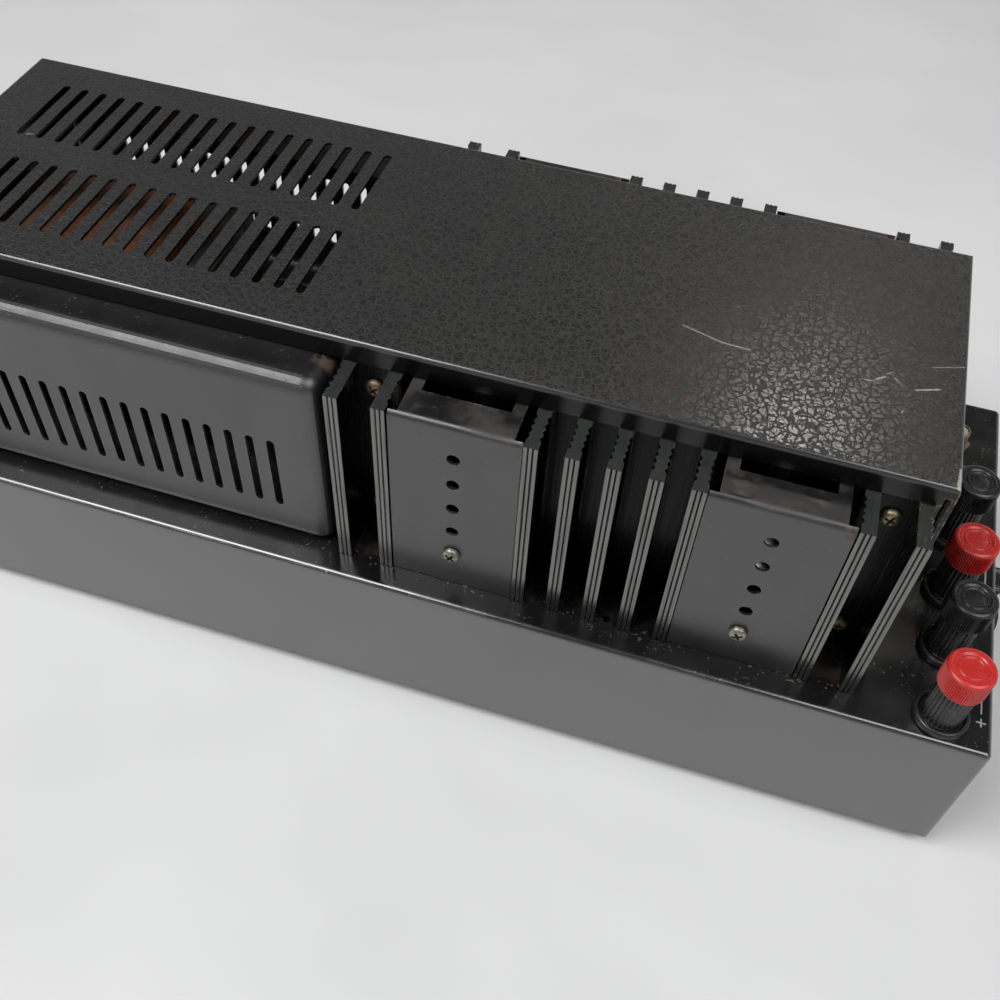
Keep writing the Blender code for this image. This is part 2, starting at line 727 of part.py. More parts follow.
def fin_flank(sign, is_toothed):
    """One side of a fin from its root to its tip, as offsets along and away from the tower."""
    half = FIN_THICKNESS / 2
    points = [(sign * half, 0)]
    if is_toothed:
        teeth = int((FIN_REACH - 2 * FIN_HEAD) / TOOTH_PITCH)
        start = (FIN_REACH - teeth * TOOTH_PITCH) / 2
        for tooth in range(teeth):
            points.append((sign * half, start + tooth * TOOTH_PITCH))
            points.append((sign * (half - TOOTH_DEPTH), start + (tooth + 0.5) * TOOTH_PITCH))
        points.append((sign * half, start + teeth * TOOTH_PITCH))
    points.append((sign * half, FIN_REACH))
    return points


def fin_end():
    """The two grooves along a fin's tip, from its front flank to its rear flank."""
    points = []
    for middle in (-FIN_THICKNESS / 6, FIN_THICKNESS / 6):
        points.append((middle - GROOVE_WIDTH / 2, FIN_REACH))
        points.append((middle, FIN_REACH - GROOVE_DEPTH))
        points.append((middle + GROOVE_WIDTH / 2, FIN_REACH))
    return points


def sink_outline():
    """The extrusion's section. The flanks that face a screw channel are plain."""
    last = len(FINS) - 1
    plain_rear = (0, last - 1)
    plain_front = (1, last)
    outline = []
    for index, x in enumerate(FINS):
        fin = fin_flank(-1, index not in plain_front) + fin_end()
        fin += reversed(fin_flank(1, index not in plain_rear))
        for along, away in fin:
            outline.append((x + along, -SINK_FACE - away))
    outline.append((SINK_REAR, -SINK_BACK))
    outline.append((SINK_FRONT, -SINK_BACK))
    return outline


def make_heat_sinks():
    mesh = prism_mesh("heat_sink", sink_outline(), SINK_HEIGHT)
    sink = add_part("heat_sink_near", mesh, ANODISED, (0, 0, SEAT + SINK_HEIGHT / 2))
    holes = []
    for x in BAYS.values():
        depth = SCREW_GRIP + SEAT_GAP
        middle = (x, -SINK_FACE + depth / 2 - CUT_SPARE / 2, COVER_SCREW_Z)
        holes.append((middle, OUTWARD, SCREW_RADIUS + SEAT_GAP, depth + CUT_SPARE))
    cut(sink, add_cutter("sink_holes", drill_mesh("sink_holes", holes)))
    mirror_twin(sink, "heat_sink_far")


def cover_outline():
    """Section of a transistor cover: its face, the bend and the top flange back to the heat sink."""
    face = -COVER_FACE
    back = -SINK_FACE - SEAT_GAP
    centre = (face + COVER_BEND, COVER_TOP - COVER_BEND)
    outer = arc(*centre, COVER_BEND, 180, 90, 3)
    inner = arc(*centre, COVER_BEND - COVER_SHEET, 90, 180, 3)
    return (
        [(face, SEAT)]
        + outer
        + [(back, COVER_TOP), (back, COVER_TOP - COVER_SHEET)]
        + inner
        + [(face + COVER_SHEET, SEAT)]
    )


def make_transistor_cover(end, x):
    mesh = flat_mesh("transistor_cover", [cover_outline()], COVER_WIDTH)
    cover = add_part(f"transistor_cover_near_{end}", mesh, SATIN_PAINT, (x, 0, 0), END_ON)
    half = COVER_WIDTH / 2
    back = -SINK_FACE + CUT_SPARE
    low_z = COVER_TOP - COVER_BEND
    high_z = SINK_TOP + CUT_SPARE
    front = -COVER_FACE + COVER_SHOULDER_INSET
    ear = half - COVER_SHOULDER - COVER_EAR_WIDTH
    notches = box_mesh(
        "cover_notches",
        ((x - half - CUT_SPARE, front, low_z), (x - half + COVER_SHOULDER, back, high_z)),
        ((x + half - COVER_SHOULDER, front, low_z), (x + half + CUT_SPARE, back, high_z)),
        ((x - ear, -SINK_FACE - COVER_NOTCH, low_z), (x + ear, back, high_z)),
    )
    cut(cover, add_cutter(f"cover_notches_{end}", notches))
    face_middle = -COVER_FACE + COVER_SHEET / 2
    through = COVER_SHEET + 2 * CUT_SPARE
    holes = [((x, face_middle, COVER_SCREW_Z), OUTWARD, SCREW_RADIUS + SEAT_GAP, through)]
    for index in range(COVER_HOLES):
        z = COVER_SCREW_Z + (index + 1) * COVER_HOLE_PITCH
        holes.append(((x, face_middle, z), OUTWARD, COVER_HOLE_RADIUS, through))
    cut(cover, add_cutter(f"cover_holes_{end}", drill_mesh("cover_holes", holes)))
    mirror_twin(cover, f"transistor_cover_far_{end}")


def make_cover_screw(end, x):
    """A pan-head screw from the cover's face into the heat sink's plate."""
    shank = COVER_FACE - SINK_FACE + SCREW_GRIP
    under = SEAT_GAP
    top = under + SCREW_HEAD_HEIGHT
    profile = [
        (0, top),
        (SCREW_CROWN_RADIUS, top - SCREW_CROWN_DROP),
        (SCREW_HEAD_RADIUS, under + SCREW_EDGE),
        (SCREW_HEAD_RADIUS, under),
        (SCREW_RADIUS, under),
        (SCREW_RADIUS, -shank),
        (0, -shank),
    ]
    place = (x, -COVER_FACE, COVER_SCREW_Z)
    screw = turned(f"cover_screw_near_{end}", ZINC, profile, place, OUTWARD, SMALL_STEPS)
    mirror_twin(screw, f"cover_screw_far_{end}")


def make_power_transistor(end, x):
    """A metal-can device: lozenge flange with a round can, standing upright on the heat sink."""
    reach = DEVICE_EAR_SPACING / 2
    lean = math.degrees(math.acos((DEVICE_FLANGE_RADIUS - DEVICE_EAR_RADIUS) / reach))
    outline = []
    for turn in (0, 180):
        sign = 1 if turn == 0 else -1
        outline += arc(0, sign * reach, DEVICE_EAR_RADIUS, 90 - lean + turn, 90 + lean + turn, 3)
        outline += arc(0, 0, DEVICE_FLANGE_RADIUS, 90 + lean + turn, 270 - lean + turn, 3)
    mesh = flat_mesh("power_transistor", [outline], DEVICE_FLANGE)
    seat = -SINK_FACE - SEAT_GAP
    place = (x, seat - DEVICE_FLANGE / 2, DEVICE_Z)
    device = add_part(f"power_transistor_near_{end}", mesh, NICKEL, place, STANDING)
    length = DEVICE_CAN + DEVICE_FLANGE / 2
    middle = (x, seat - DEVICE_FLANGE / 2 - length / 2, DEVICE_Z)
    can = drill_mesh("device_can", [(middle, OUTWARD, DEVICE_CAN_RADIUS, length)], ROUND_STEPS)
    combine(device, add_cutter(f"device_can_{end}", can), "UNION")
    mirror_twin(device, f"power_transistor_far_{end}")


def make_vent_covers():
    """Pressed pans with round edges and a row of slots, over the windows of the side frames."""
    cover = sheet_box(
        "vent_cover_near",
        SATIN_PAINT,
        (VENT_FRONT, -VENT_FACE, SEAT),
        (VENT_REAR, -SINK_BACK, SINK_TOP),
        Vector((0, 1, 0)),
        VENT_SHEET,
        VENT_ROUND,
        3,
        lambda edge: True,
    )
    outlines = []
    room = VENT_REAR - VENT_FRONT - 2 * VENT_SLOT_MARGIN
    for u in slot_places(VENT_REAR - VENT_SLOT_MARGIN, -room):
        outlines.append(upright_slot(u, DECK + VENT_SLOT_HEIGHT, VENT_SLOT_LENGTH, SLOT_WIDTH))
    slots = flat_mesh("vent_slots", outlines, VENT_SHEET + 2 * CUT_SPARE)
    cut(cover, add_cutter("vent_slots", slots, (0, -VENT_FACE + VENT_SHEET / 2, 0), STANDING))
    mirror_twin(cover, "vent_cover_far")


def make_post(number, y, cap_finish):
    """A screw terminal: cup and stud through the deck, clamp washer, fluted barrel and knurled cap."""
    cup = [
        (0, STUD_HEIGHT),
        (STUD_RADIUS, STUD_HEIGHT),
        (STUD_RADIUS, CUP_FLOOR),
        (CUP_WELL, CUP_FLOOR),
        (CUP_WELL, CUP_HEIGHT - CUP_INNER_CHAMFER),
        (CUP_RADIUS - CUP_LIP, CUP_HEIGHT),
        (CUP_RADIUS, CUP_HEIGHT - CUP_OUTER_CHAMFER),
        (CUP_RADIUS, SEAT_GAP),
        (SHANK_RADIUS, SEAT_GAP),
        (SHANK_RADIUS, -SHANK_LENGTH),
        (0, -SHANK_LENGTH),
    ]
    turned(f"post_cup_{number}", BLACK_PLASTIC, cup, (POST_X, y, DECK))
    bore_radius = STUD_RADIUS + RUN_GAP
    foot = CUP_FLOOR + SEAT_GAP
    head = foot + WASHER_THICKNESS
    washer = [(BARREL_RADIUS, head), (BARREL_RADIUS, foot), (bore_radius, foot), (bore_radius, head)]
    turned(f"post_washer_{number}", NICKEL, washer, (POST_X, y, DECK), is_ring=True)
    flutes = toothed_circle(BARREL_RADIUS, FLUTE_DEPTH, BARREL_FLUTES)
    outlines = [flutes, bore(0, 0, bore_radius, SMALL_STEPS)]
    barrel_foot = DECK + head + SEAT_GAP
    barrel = flat_mesh("post_barrel", outlines, BARREL_HEIGHT)
    add_part(f"post_barrel_{number}", barrel, BLACK_PLASTIC, (POST_X, y, barrel_foot + BARREL_HEIGHT / 2))
    wide = CAP_RADIUS + CAP_CHAMFER / 2
    envelope = [
        (0, CAP_HEIGHT - CAP_DISH_DEPTH),
        (CAP_DISH_RADIUS - CAP_DISH_SLOPE, CAP_HEIGHT - CAP_DISH_DEPTH),
        (CAP_DISH_RADIUS, CAP_HEIGHT),
        (CAP_RADIUS - CAP_CHAMFER, CAP_HEIGHT),
        (wide, CAP_HEIGHT - 1.5 * CAP_CHAMFER),
        (wide, 0),
        (0, 0),
    ]
    cap_foot = barrel_foot + BARREL_HEIGHT + SEAT_GAP
    cap = turned(f"post_cap_{number}", cap_finish, envelope, (POST_X, y, cap_foot))
    ridges = flat_mesh(
        "cap_ridges",
        [toothed_circle(CAP_RADIUS, RIDGE_DEPTH, CAP_RIDGES)],
        CAP_HEIGHT + 2 * CUT_SPARE,
    )
    grip = add_cutter(f"cap_ridges_{number}", ridges, (POST_X, y, cap_foot + CAP_HEIGHT / 2))
    combine(cap, grip, "INTERSECT")


def make_jack(side, y):
    """A phono socket that stands on the deck, with its nut and its tail below."""
    floor = JACK_HEIGHT - JACK_PIN_DEPTH
    profile = [
        (0, floor),
        (JACK_PIN_RADIUS, floor),
        (JACK_PIN_RADIUS, JACK_HEIGHT),
        (JACK_SHELL_RADIUS, JACK_HEIGHT),
        (JACK_SHELL_RADIUS, JACK_NUT_HEIGHT + SEAT_GAP),
        (JACK_NUT_RADIUS, JACK_NUT_HEIGHT + SEAT_GAP),
        (JACK_NUT_RADIUS, SEAT_GAP),
        (JACK_TAIL_RADIUS, SEAT_GAP),
        (JACK_TAIL_RADIUS, -JACK_TAIL_LENGTH),
        (0, -JACK_TAIL_LENGTH),
    ]
    turned(f"input_jack_{side}", NICKEL, profile, (JACK_X, y, DECK), steps=SMALL_STEPS)


def make_rear_end():
    """The mains cord's gland, and the fuse holder with its quarter-turn cap."""
    wall = CHASSIS_SHEET + SEAT_GAP
    gland = [
        (GLAND_RADIUS - GLAND_NOSE_TAPER, GLAND_REACH),
        (GLAND_RADIUS, GLAND_COLLAR),
        (GLAND_RADIUS, SEAT_GAP),
        (GLAND_NECK_RADIUS, SEAT_GAP),
        (GLAND_NECK_RADIUS, -wall),
        (GLAND_RADIUS, -wall),
        (GLAND_RADIUS, -wall - GLAND_TAIL),
        (GLAND_BORE_RADIUS, -wall - GLAND_TAIL),
        (GLAND_BORE_RADIUS, GLAND_REACH),
    ]
    turned("cord_gland", RUBBER, gland, (REAR, GLAND_OFFSET, REAR_Z), REARWARD, SMALL_STEPS, is_ring=True)
    stem_foot = FUSE_FLANGE - FUSE_STEM_LENGTH
    floor = stem_foot - SEAT_GAP
    holder = [
        (0, floor),
        (FUSE_BORE_RADIUS, floor),
        (FUSE_BORE_RADIUS, FUSE_FLANGE),
        (FUSE_FLANGE_RADIUS, FUSE_FLANGE),
        (FUSE_FLANGE_RADIUS, SEAT_GAP),
        (FUSE_NECK_RADIUS, SEAT_GAP),
        (FUSE_NECK_RADIUS, -FUSE_NECK_LENGTH),
        (0, -FUSE_NECK_LENGTH),
    ]
    turned("fuse_holder", BLACK_PLASTIC, holder, (REAR, FUSE_OFFSET, REAR_Z), REARWARD)
    cap_foot = FUSE_FLANGE + SEAT_GAP
    cap_end = cap_foot + FUSE_CAP_LENGTH
    wide = FUSE_CAP_RADIUS + FUSE_CAP_CHAMFER / 2
    cap = [
        (0, cap_end),
        (FUSE_CAP_RADIUS - FUSE_CAP_CHAMFER, cap_end),
        (wide, cap_end - 1.5 * FUSE_CAP_CHAMFER),
        (wide, cap_foot),
        (FUSE_BORE_RADIUS - RUN_GAP, cap_foot),
        (FUSE_BORE_RADIUS - RUN_GAP, stem_foot),
        (0, stem_foot),
    ]
    fuse_cap = turned("fuse_cap", BLACK_PLASTIC, cap, (REAR, FUSE_OFFSET, REAR_Z), REARWARD)
    ridges = flat_mesh(
        "fuse_ridges",
        [toothed_circle(FUSE_CAP_RADIUS, RIDGE_DEPTH, FUSE_CAP_RIDGES)],
        2 * (FUSE_CAP_LENGTH + FUSE_STEM_LENGTH),
    )
    combine(fuse_cap, add_cutter("fuse_ridges", ridges, (REAR, FUSE_OFFSET, REAR_Z), REARWARD), "INTERSECT")
    across = FUSE_CAP_RADIUS + CUT_SPARE
    half = FUSE_SLOT_WIDTH / 2
    low = (REAR + cap_end - FUSE_SLOT_DEPTH, FUSE_OFFSET - across, REAR_Z - half)
    high = (REAR + cap_end + CUT_SPARE, FUSE_OFFSET + across, REAR_Z + half)
    slot = box_mesh("fuse_slot", (low, high))
    cut(fuse_cap, add_cutter("fuse_slot", slot))


def make_front_end():
    """The power switch with its push button, and the pilot lamp."""
    well = BUTTON_RADIUS + RUN_GAP
    floor = BEZEL_HEIGHT - BUTTON_STEM - BUTTON_TRAVEL - RUN_GAP
    body = [
        (0, floor),
        (well, floor),
        (well, BEZEL_HEIGHT),
        (BEZEL_RADIUS - BEZEL_CHAMFER, BEZEL_HEIGHT),
        (BEZEL_RADIUS, BEZEL_HEIGHT - BEZEL_CHAMFER),
        (BEZEL_RADIUS, SEAT_GAP),
        (SWITCH_NECK_RADIUS, SEAT_GAP),
        (SWITCH_NECK_RADIUS, -SWITCH_LENGTH),
        (0, -SWITCH_LENGTH),
    ]
    turned("switch_body", BLACK_PLASTIC, body, (FRONT, SWITCH_OFFSET, FRONT_Z), FORWARD)
    tip = BEZEL_HEIGHT + BUTTON_REACH
    button = [
        (0, tip),
        (BUTTON_RADIUS - BUTTON_CHAMFER, tip),
        (BUTTON_RADIUS, tip - BUTTON_CHAMFER),
        (BUTTON_RADIUS, BEZEL_HEIGHT - BUTTON_STEM),
        (0, BEZEL_HEIGHT - BUTTON_STEM),
    ]
    turned("power_button", BLACK_PLASTIC, button, (FRONT, SWITCH_OFFSET, FRONT_Z), FORWARD)
    lens = [
        (0, LAMP_REACH),
        (LAMP_CROWN_RADIUS, LAMP_REACH - LAMP_CROWN_DROP),
        (LAMP_RADIUS, LAMP_SIDE),
        (LAMP_RADIUS, LAMP_FLANGE),
        (LAMP_FLANGE_RADIUS, LAMP_FLANGE),
        (LAMP_FLANGE_RADIUS, SEAT_GAP),
        (LAMP_RADIUS, SEAT_GAP),
        (LAMP_RADIUS, -LAMP_TAIL),
        (0, -LAMP_TAIL),
    ]
    turned("pilot_lamp", AMBER, lens, (FRONT, LAMP_OFFSET, FRONT_Z), FORWARD, SMALL_STEPS)


def make_transformer():
    """A core of stacked laminations laid flat, the taped coil round its middle limb, two brackets."""
    x = TOWER_FRONT + CORE_FRONT_INSET + CORE_LENGTH / 2
    coil_height = CORE_STACK + 2 * COIL_BUILD
    middle = SEAT + COIL_LIFT + coil_height / 2
    outlines = [rounded_rectangle(CORE_LENGTH, CORE_WIDTH, CORE_CORNER, 1)]
    for u in (-1, 1):
        window = rounded_rectangle(CORE_WINDOW_WIDTH, CORE_WINDOW_LENGTH, CORE_WINDOW_CORNER, 1)
        shift = u * (CORE_LIMB + CORE_WINDOW_WIDTH) / 2
        outlines.append([(point_u + shift, point_v) for point_u, point_v in window])
    core = flat_mesh("transformer_core", outlines, CORE_STACK)
    add_part("transformer_core", core, LAMINATION, (x, 0, middle))
    coil_width = CORE_LIMB + 2 * (CORE_WINDOW_WIDTH - COIL_SLACK)
    tube = [
        rounded_rectangle(coil_width, coil_height, COIL_CORNER, 4),
        rounded_rectangle(CORE_LIMB + 2 * COIL_SLACK, CORE_STACK + 2 * COIL_SLACK, CORE_WINDOW_CORNER, 1),
    ]
    coil = flat_mesh("transformer_coil", tube, CORE_WINDOW_LENGTH - 2 * COIL_SLACK)
    add_part("transformer_coil", coil, COIL_TAPE, (x, 0, middle), STANDING)
    web = middle + CORE_STACK / 2 - SEAT
    for name, sign in (("front", -1), ("rear", 1)):
        face = x + sign * (CORE_LENGTH / 2 + SEAT_GAP)
        angle = [
            (-sign * BRACKET_FOOT, 0),
            (sign * BRACKET_SHEET, 0),
            (sign * BRACKET_SHEET, web),
            (0, web),
            (0, BRACKET_SHEET),
            (-sign * BRACKET_FOOT, BRACKET_SHEET),
        ]
        mesh = flat_mesh("transformer_bracket", [angle], BRACKET_WIDTH)
        add_part(f"transformer_bracket_{name}", mesh, STEEL, (face, 0, SEAT), STANDING)


def make_supply():
    """The filter capacitors in their clamp, and the rectifier, between the heat sinks."""
    rear = TOWER_REAR - CAPACITOR_REAR_INSET
    radius = CAPACITOR_RADIUS
    rim = radius - CAPACITOR_SHOULDER
    dish = CAPACITOR_HEIGHT - CAPACITOR_DISH
    profile = [
        (0, dish),
        (rim - CAPACITOR_RIM - CAPACITOR_DISH, dish),
        (rim - CAPACITOR_RIM, CAPACITOR_HEIGHT),
        (rim, CAPACITOR_HEIGHT),
        (radius, CAPACITOR_HEIGHT - CAPACITOR_SHOULDER_DROP),
        (radius, 0),
        (0, 0),
    ]
    for name, x in (("front", rear - CAPACITOR_SPACING), ("rear", rear)):
        turned(f"filter_capacitor_{name}", SLEEVE, profile, (x, 0, SEAT), steps=2 * SMALL_STEPS)
    half = CAPACITOR_SPACING / 2
    wide = radius + CLAMP_WALL
    outline = arc(half, 0, wide, -90, 90, SMALL_STEPS) + arc(-half, 0, wide, 90, 270, SMALL_STEPS)
    bores = [bore(u, 0, radius + SEAT_GAP, 2 * SMALL_STEPS) for u in (-half, half)]
    clamp = flat_mesh("capacitor_clamp", [outline] + bores, CLAMP_HEIGHT)
    add_part("capacitor_clamp", clamp, STEEL, (rear - half, 0, SEAT + CLAMP_HEIGHT / 2))
    x = TOWER_REAR - RECTIFIER_REAR_INSET
    outline = rounded_rectangle(RECTIFIER_SIZE, RECTIFIER_SIZE, RECTIFIER_CORNER, 2)
    block = flat_mesh("rectifier", [outline], RECTIFIER_HEIGHT)
    rectifier = add_part("rectifier", block, BLACK_PLASTIC, (x, 0, SEAT + RECTIFIER_HEIGHT / 2))
    tabs = []
    foot = SEAT + RECTIFIER_HEIGHT / 2
    head = SEAT + RECTIFIER_HEIGHT + TAB_HEIGHT
    for u in (-TAB_SPACING / 2, TAB_SPACING / 2):
        for v in (-TAB_SPACING / 2, TAB_SPACING / 2):
            low = (x + u - TAB_WIDTH / 2, v - TAB_SHEET / 2, foot)
            high = (x + u + TAB_WIDTH / 2, v + TAB_SHEET / 2, head)
            tabs.append((low, high))
    combine(rectifier, add_cutter("rectifier_tabs", box_mesh("rectifier_tabs", *tabs)), "UNION")


def make_driver_boards():
    """A driver board for each channel, hung on pillars under the deck."""
    middle_x = REAR - BOARD_REAR_INSET - BOARD_LENGTH / 2
    middle_y = -SIDE + BOARD_SIDE_INSET + BOARD_WIDTH / 2
    outline = rounded_rectangle(BOARD_LENGTH, BOARD_WIDTH, BOARD_CORNER, 1)
    plate = flat_mesh("driver_board", [outline], BOARD_SHEET)
    z = UNDERDECK - BOARD_DROP
    board = add_part("driver_board_near", plate, BOARD, (middle_x, middle_y, z))
    top = UNDERDECK - SEAT_GAP
    pillars = []
    for u in (-1, 1):
        for v in (-1, 1):
            x = middle_x + u * (BOARD_LENGTH / 2 - PILLAR_INSET)
            y = middle_y + v * (BOARD_WIDTH / 2 - PILLAR_INSET)
            pillars.append(((x, y, (z + top) / 2), LYING, PILLAR_RADIUS, top - z))
    combine(board, add_cutter("board_pillars", drill_mesh("board_pillars", pillars)), "UNION")
    mirror_twin(board, "driver_board_far")


def main():
    make_chassis()
    make_base()
    make_top_cover()
    make_side_frames()
    make_heat_sinks()
    for end, x in BAYS.items():
        make_transistor_cover(end, x)
        make_cover_screw(end, x)
        make_power_transistor(end, x)
    make_vent_covers()
    for index, y in enumerate(post_places()):
        make_post(index + 1, y, BLACK_PLASTIC if index % 2 else RED_PLASTIC)
    for side, y in jack_places().items():
        make_jack(side, y)
    make_rear_end()
    make_front_end()
    make_transformer()
    make_supply()
    make_driver_boards()


main()
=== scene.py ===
import math

import bmesh
import bpy
from mathutils import Matrix, Vector


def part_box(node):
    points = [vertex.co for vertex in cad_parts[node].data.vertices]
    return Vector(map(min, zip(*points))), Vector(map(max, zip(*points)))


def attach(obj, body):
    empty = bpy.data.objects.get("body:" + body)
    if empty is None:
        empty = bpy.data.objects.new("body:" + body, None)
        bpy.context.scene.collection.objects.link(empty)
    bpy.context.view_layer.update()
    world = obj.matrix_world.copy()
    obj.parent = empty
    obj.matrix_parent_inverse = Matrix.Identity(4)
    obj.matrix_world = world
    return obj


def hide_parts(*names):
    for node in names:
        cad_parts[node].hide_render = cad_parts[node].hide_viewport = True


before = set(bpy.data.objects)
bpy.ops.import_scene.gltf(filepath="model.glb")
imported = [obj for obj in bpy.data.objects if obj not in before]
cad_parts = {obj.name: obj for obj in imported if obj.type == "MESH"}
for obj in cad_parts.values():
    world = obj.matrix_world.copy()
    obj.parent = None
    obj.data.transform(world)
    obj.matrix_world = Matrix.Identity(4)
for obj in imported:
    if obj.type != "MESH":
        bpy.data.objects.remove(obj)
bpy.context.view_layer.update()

mm = 0.001
seat = 0.3 * mm  # gap under a seated flange
spare = 2 * mm  # how far a cut runs past the sheet
main = "amplifier"
panLow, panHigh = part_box("chassis_pan")
lidLow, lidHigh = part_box("top_cover")
deckZ = panHigh.z
print("frame loaded:", len(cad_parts), "nodes")


# meshes

def toMesh(name, work):
    mesh = bpy.data.meshes.new(name)
    work.to_mesh(mesh)
    work.free()
    return mesh


def sceneObject(name, mesh):
    obj = bpy.data.objects.new(name, mesh)
    bpy.context.scene.collection.objects.link(obj)
    return obj


def settled(obj):  # the object as its modifiers make it, as a plain mesh; the object goes
    bpy.context.view_layer.update()
    graph = bpy.context.evaluated_depsgraph_get()
    mesh = bpy.data.meshes.new_from_object(obj.evaluated_get(graph))
    bpy.data.objects.remove(obj)
    return mesh


def boxesMesh(name, *boxes):  # each box is its lowest and highest corner
    work = bmesh.new()
    for low, high in boxes:
        low, high = Vector(low), Vector(high)
        place = Matrix.Translation((low + high) / 2) @ Matrix.Diagonal((*(high - low), 1))
        bmesh.ops.create_cube(work, size=1, matrix=place)
    return toMesh(name, work)


def cutMesh(mesh, cutterMesh):
    obj = sceneObject("cutting", mesh)
    cutter = sceneObject("cutter", cutterMesh)
    boolean = obj.modifiers.new("cut", "BOOLEAN")
    boolean.operation = "DIFFERENCE"
    boolean.object = cutter
    result = settled(obj)
    bpy.data.objects.remove(cutter)
    return result


def sheetBox(low, high, openSide, sheet, bend, steps, isBent=lambda edge: True):
    work = bmesh.new()
    place = Matrix.Translation((low + high) / 2) @ Matrix.Diagonal((*(high - low), 1))
    bmesh.ops.create_cube(work, size=1, matrix=place)
    work.normal_update()
    missing = max(work.faces, key=lambda face: face.normal.dot(openSide))
    bmesh.ops.delete(work, geom=[missing], context="FACES_ONLY")
    bent = [edge for edge in work.edges if len(edge.link_faces) == 2 and isBent(edge)]
    bmesh.ops.bevel(work, geom=bent, offset=bend, segments=steps, profile=0.5, affect="EDGES")
    obj = sceneObject("sheet", toMesh("sheet", work))
    wall = obj.modifiers.new("wall", "SOLIDIFY")
    wall.thickness = sheet
    wall.offset = -1
    wall.use_even_offset = True
    return settled(obj)


def latheMesh(name, profile, steps, isRing=False):  # profile of radius and height, in metres
    work = bmesh.new()
    rings = []
    for radius, height in profile:
        if radius < 1e-6:
            rings.append([work.verts.new((0, 0, height))])
            continue
        ring = []
        for step in range(steps):
            angle = 2 * math.pi * step / steps
            ring.append(work.verts.new((radius * math.cos(angle), radius * math.sin(angle), height)))
        rings.append(ring)
    pairs = list(zip(rings, rings[1:]))
    if isRing:
        pairs.append((rings[-1], rings[0]))
    for upper, lower in pairs:
        for step in range(steps):
            after = (step + 1) % steps
            corners = [upper[step % len(upper)], lower[step % len(lower)]]
            corners += [lower[after % len(lower)], upper[after % len(upper)]]
            unique = list(dict.fromkeys(corners))
            if len(unique) > 2:
                work.faces.new(unique)
    bmesh.ops.recalc_face_normals(work, faces=work.faces)
    return toMesh(name, work)


def roundProfile(points, radius, steps=3):  # corners of an open profile, rounded
    rounded = [points[0]]
    for before, corner, after in zip(points, points[1:], points[2:]):
        corner, before, after = Vector(corner), Vector(before), Vector(after)
        reach = min(radius, (before - corner).length * 0.45, (after - corner).length * 0.45)
        start = corner + (before - corner).normalized() * reach
        end = corner + (after - corner).normalized() * reach
        for step in range(steps + 1):
            t = step / steps
            rounded.append(tuple(start * (1 - t) ** 2 + corner * 2 * t * (1 - t) + end * t ** 2))
    rounded.append(points[-1])
    return [tuple(point) for point in rounded]


def moved(mesh, place, turn=Matrix.Identity(3)):
    mesh.transform(Matrix.Translation(place) @ turn.to_4x4())
    return mesh


def mirrored(mesh):  # the far side's copy of a near-side mesh
    twin = mesh.copy()
    twin.transform(Matrix.Scale(-1, 4, (0, 1, 0)))
    twin.flip_normals()
    return twin


def joined(name, *meshes):
    work = bmesh.new()
    for mesh in meshes:
        work.from_mesh(mesh)
    return toMesh(name, work)


def newPiece(name, mesh, material, body=main, replaced=(), smooth=38):
    obj = sceneObject(name, mesh)
    mesh.materials.clear()
    mesh.materials.append(material)
    mesh.shade_smooth()
    mesh.set_sharp_from_angle(angle=math.radians(smooth))
    for face in mesh.polygons:  # broad flats keep their own normal beside a bend
        face.use_smooth = face.area < broadFace
    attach(obj, body)
    if replaced:
        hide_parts(*replaced)
    return obj


broadFace = 30 * mm * mm
rearward = Matrix.Rotation(math.pi / 2, 3, "Y")
forward = Matrix.Rotation(-math.pi / 2, 3, "Y")


# node trees

def addNode(tree, kind, inputs=None, **settings):
    node = tree.nodes.new(kind)
    for key, value in settings.items():
        setattr(node, key, value)
    for key, value in (inputs or {}).items():
        if isinstance(value, bpy.types.NodeSocket):
            tree.links.new(value, node.inputs[key])
        else:
            node.inputs[key].default_value = value
    return node


def calc(tree, operation, a, b=0.0, clamp=False):
    return addNode(tree, "ShaderNodeMath", {0: a, 1: b}, operation=operation, use_clamp=clamp).outputs[0]


def vectorCalc(tree, operation, a, b=(0, 0, 0), output=0):
    return addNode(tree, "ShaderNodeVectorMath", {0: a, 1: b}, operation=operation).outputs[output]


def spread(tree, value, low, high, toLow=0.0, toHigh=1.0):  # smooth step between two limits
    inputs = {0: value, 1: low, 2: high, 3: toLow, 4: toHigh}
    return addNode(tree, "ShaderNodeMapRange", inputs, interpolation_type="SMOOTHSTEP").outputs[0]


def noise(tree, vector, scale, detail=2.0, rough=0.5, output="Fac"):
    inputs = {"Vector": vector, "Scale": scale, "Detail": detail, "Roughness": rough}
    return addNode(tree, "ShaderNodeTexNoise", inputs).outputs[output]


def mixColour(tree, factor, a, b):
    return addNode(tree, "ShaderNodeMix", {0: factor, 6: a, 7: b}, data_type="RGBA").outputs[2]


def times(tree, first, *others):
    for value in others:
        first = calc(tree, "MULTIPLY", first, value)
    return first


def most(tree, first, *others):
    for value in others:
        first = calc(tree, "MAXIMUM", first, value)
    return first


def axes(tree, vector):
    return addNode(tree, "ShaderNodeSeparateXYZ", {0: vector}).outputs


def facingUp(tree):  # 1 on what looks straight up
    return axes(tree, tree.nodes.new("ShaderNodeNewGeometry").outputs["Normal"])["Z"]


def rgb(red, green, blue):
    return (red, green, blue, 1.0)


# geometry node trees

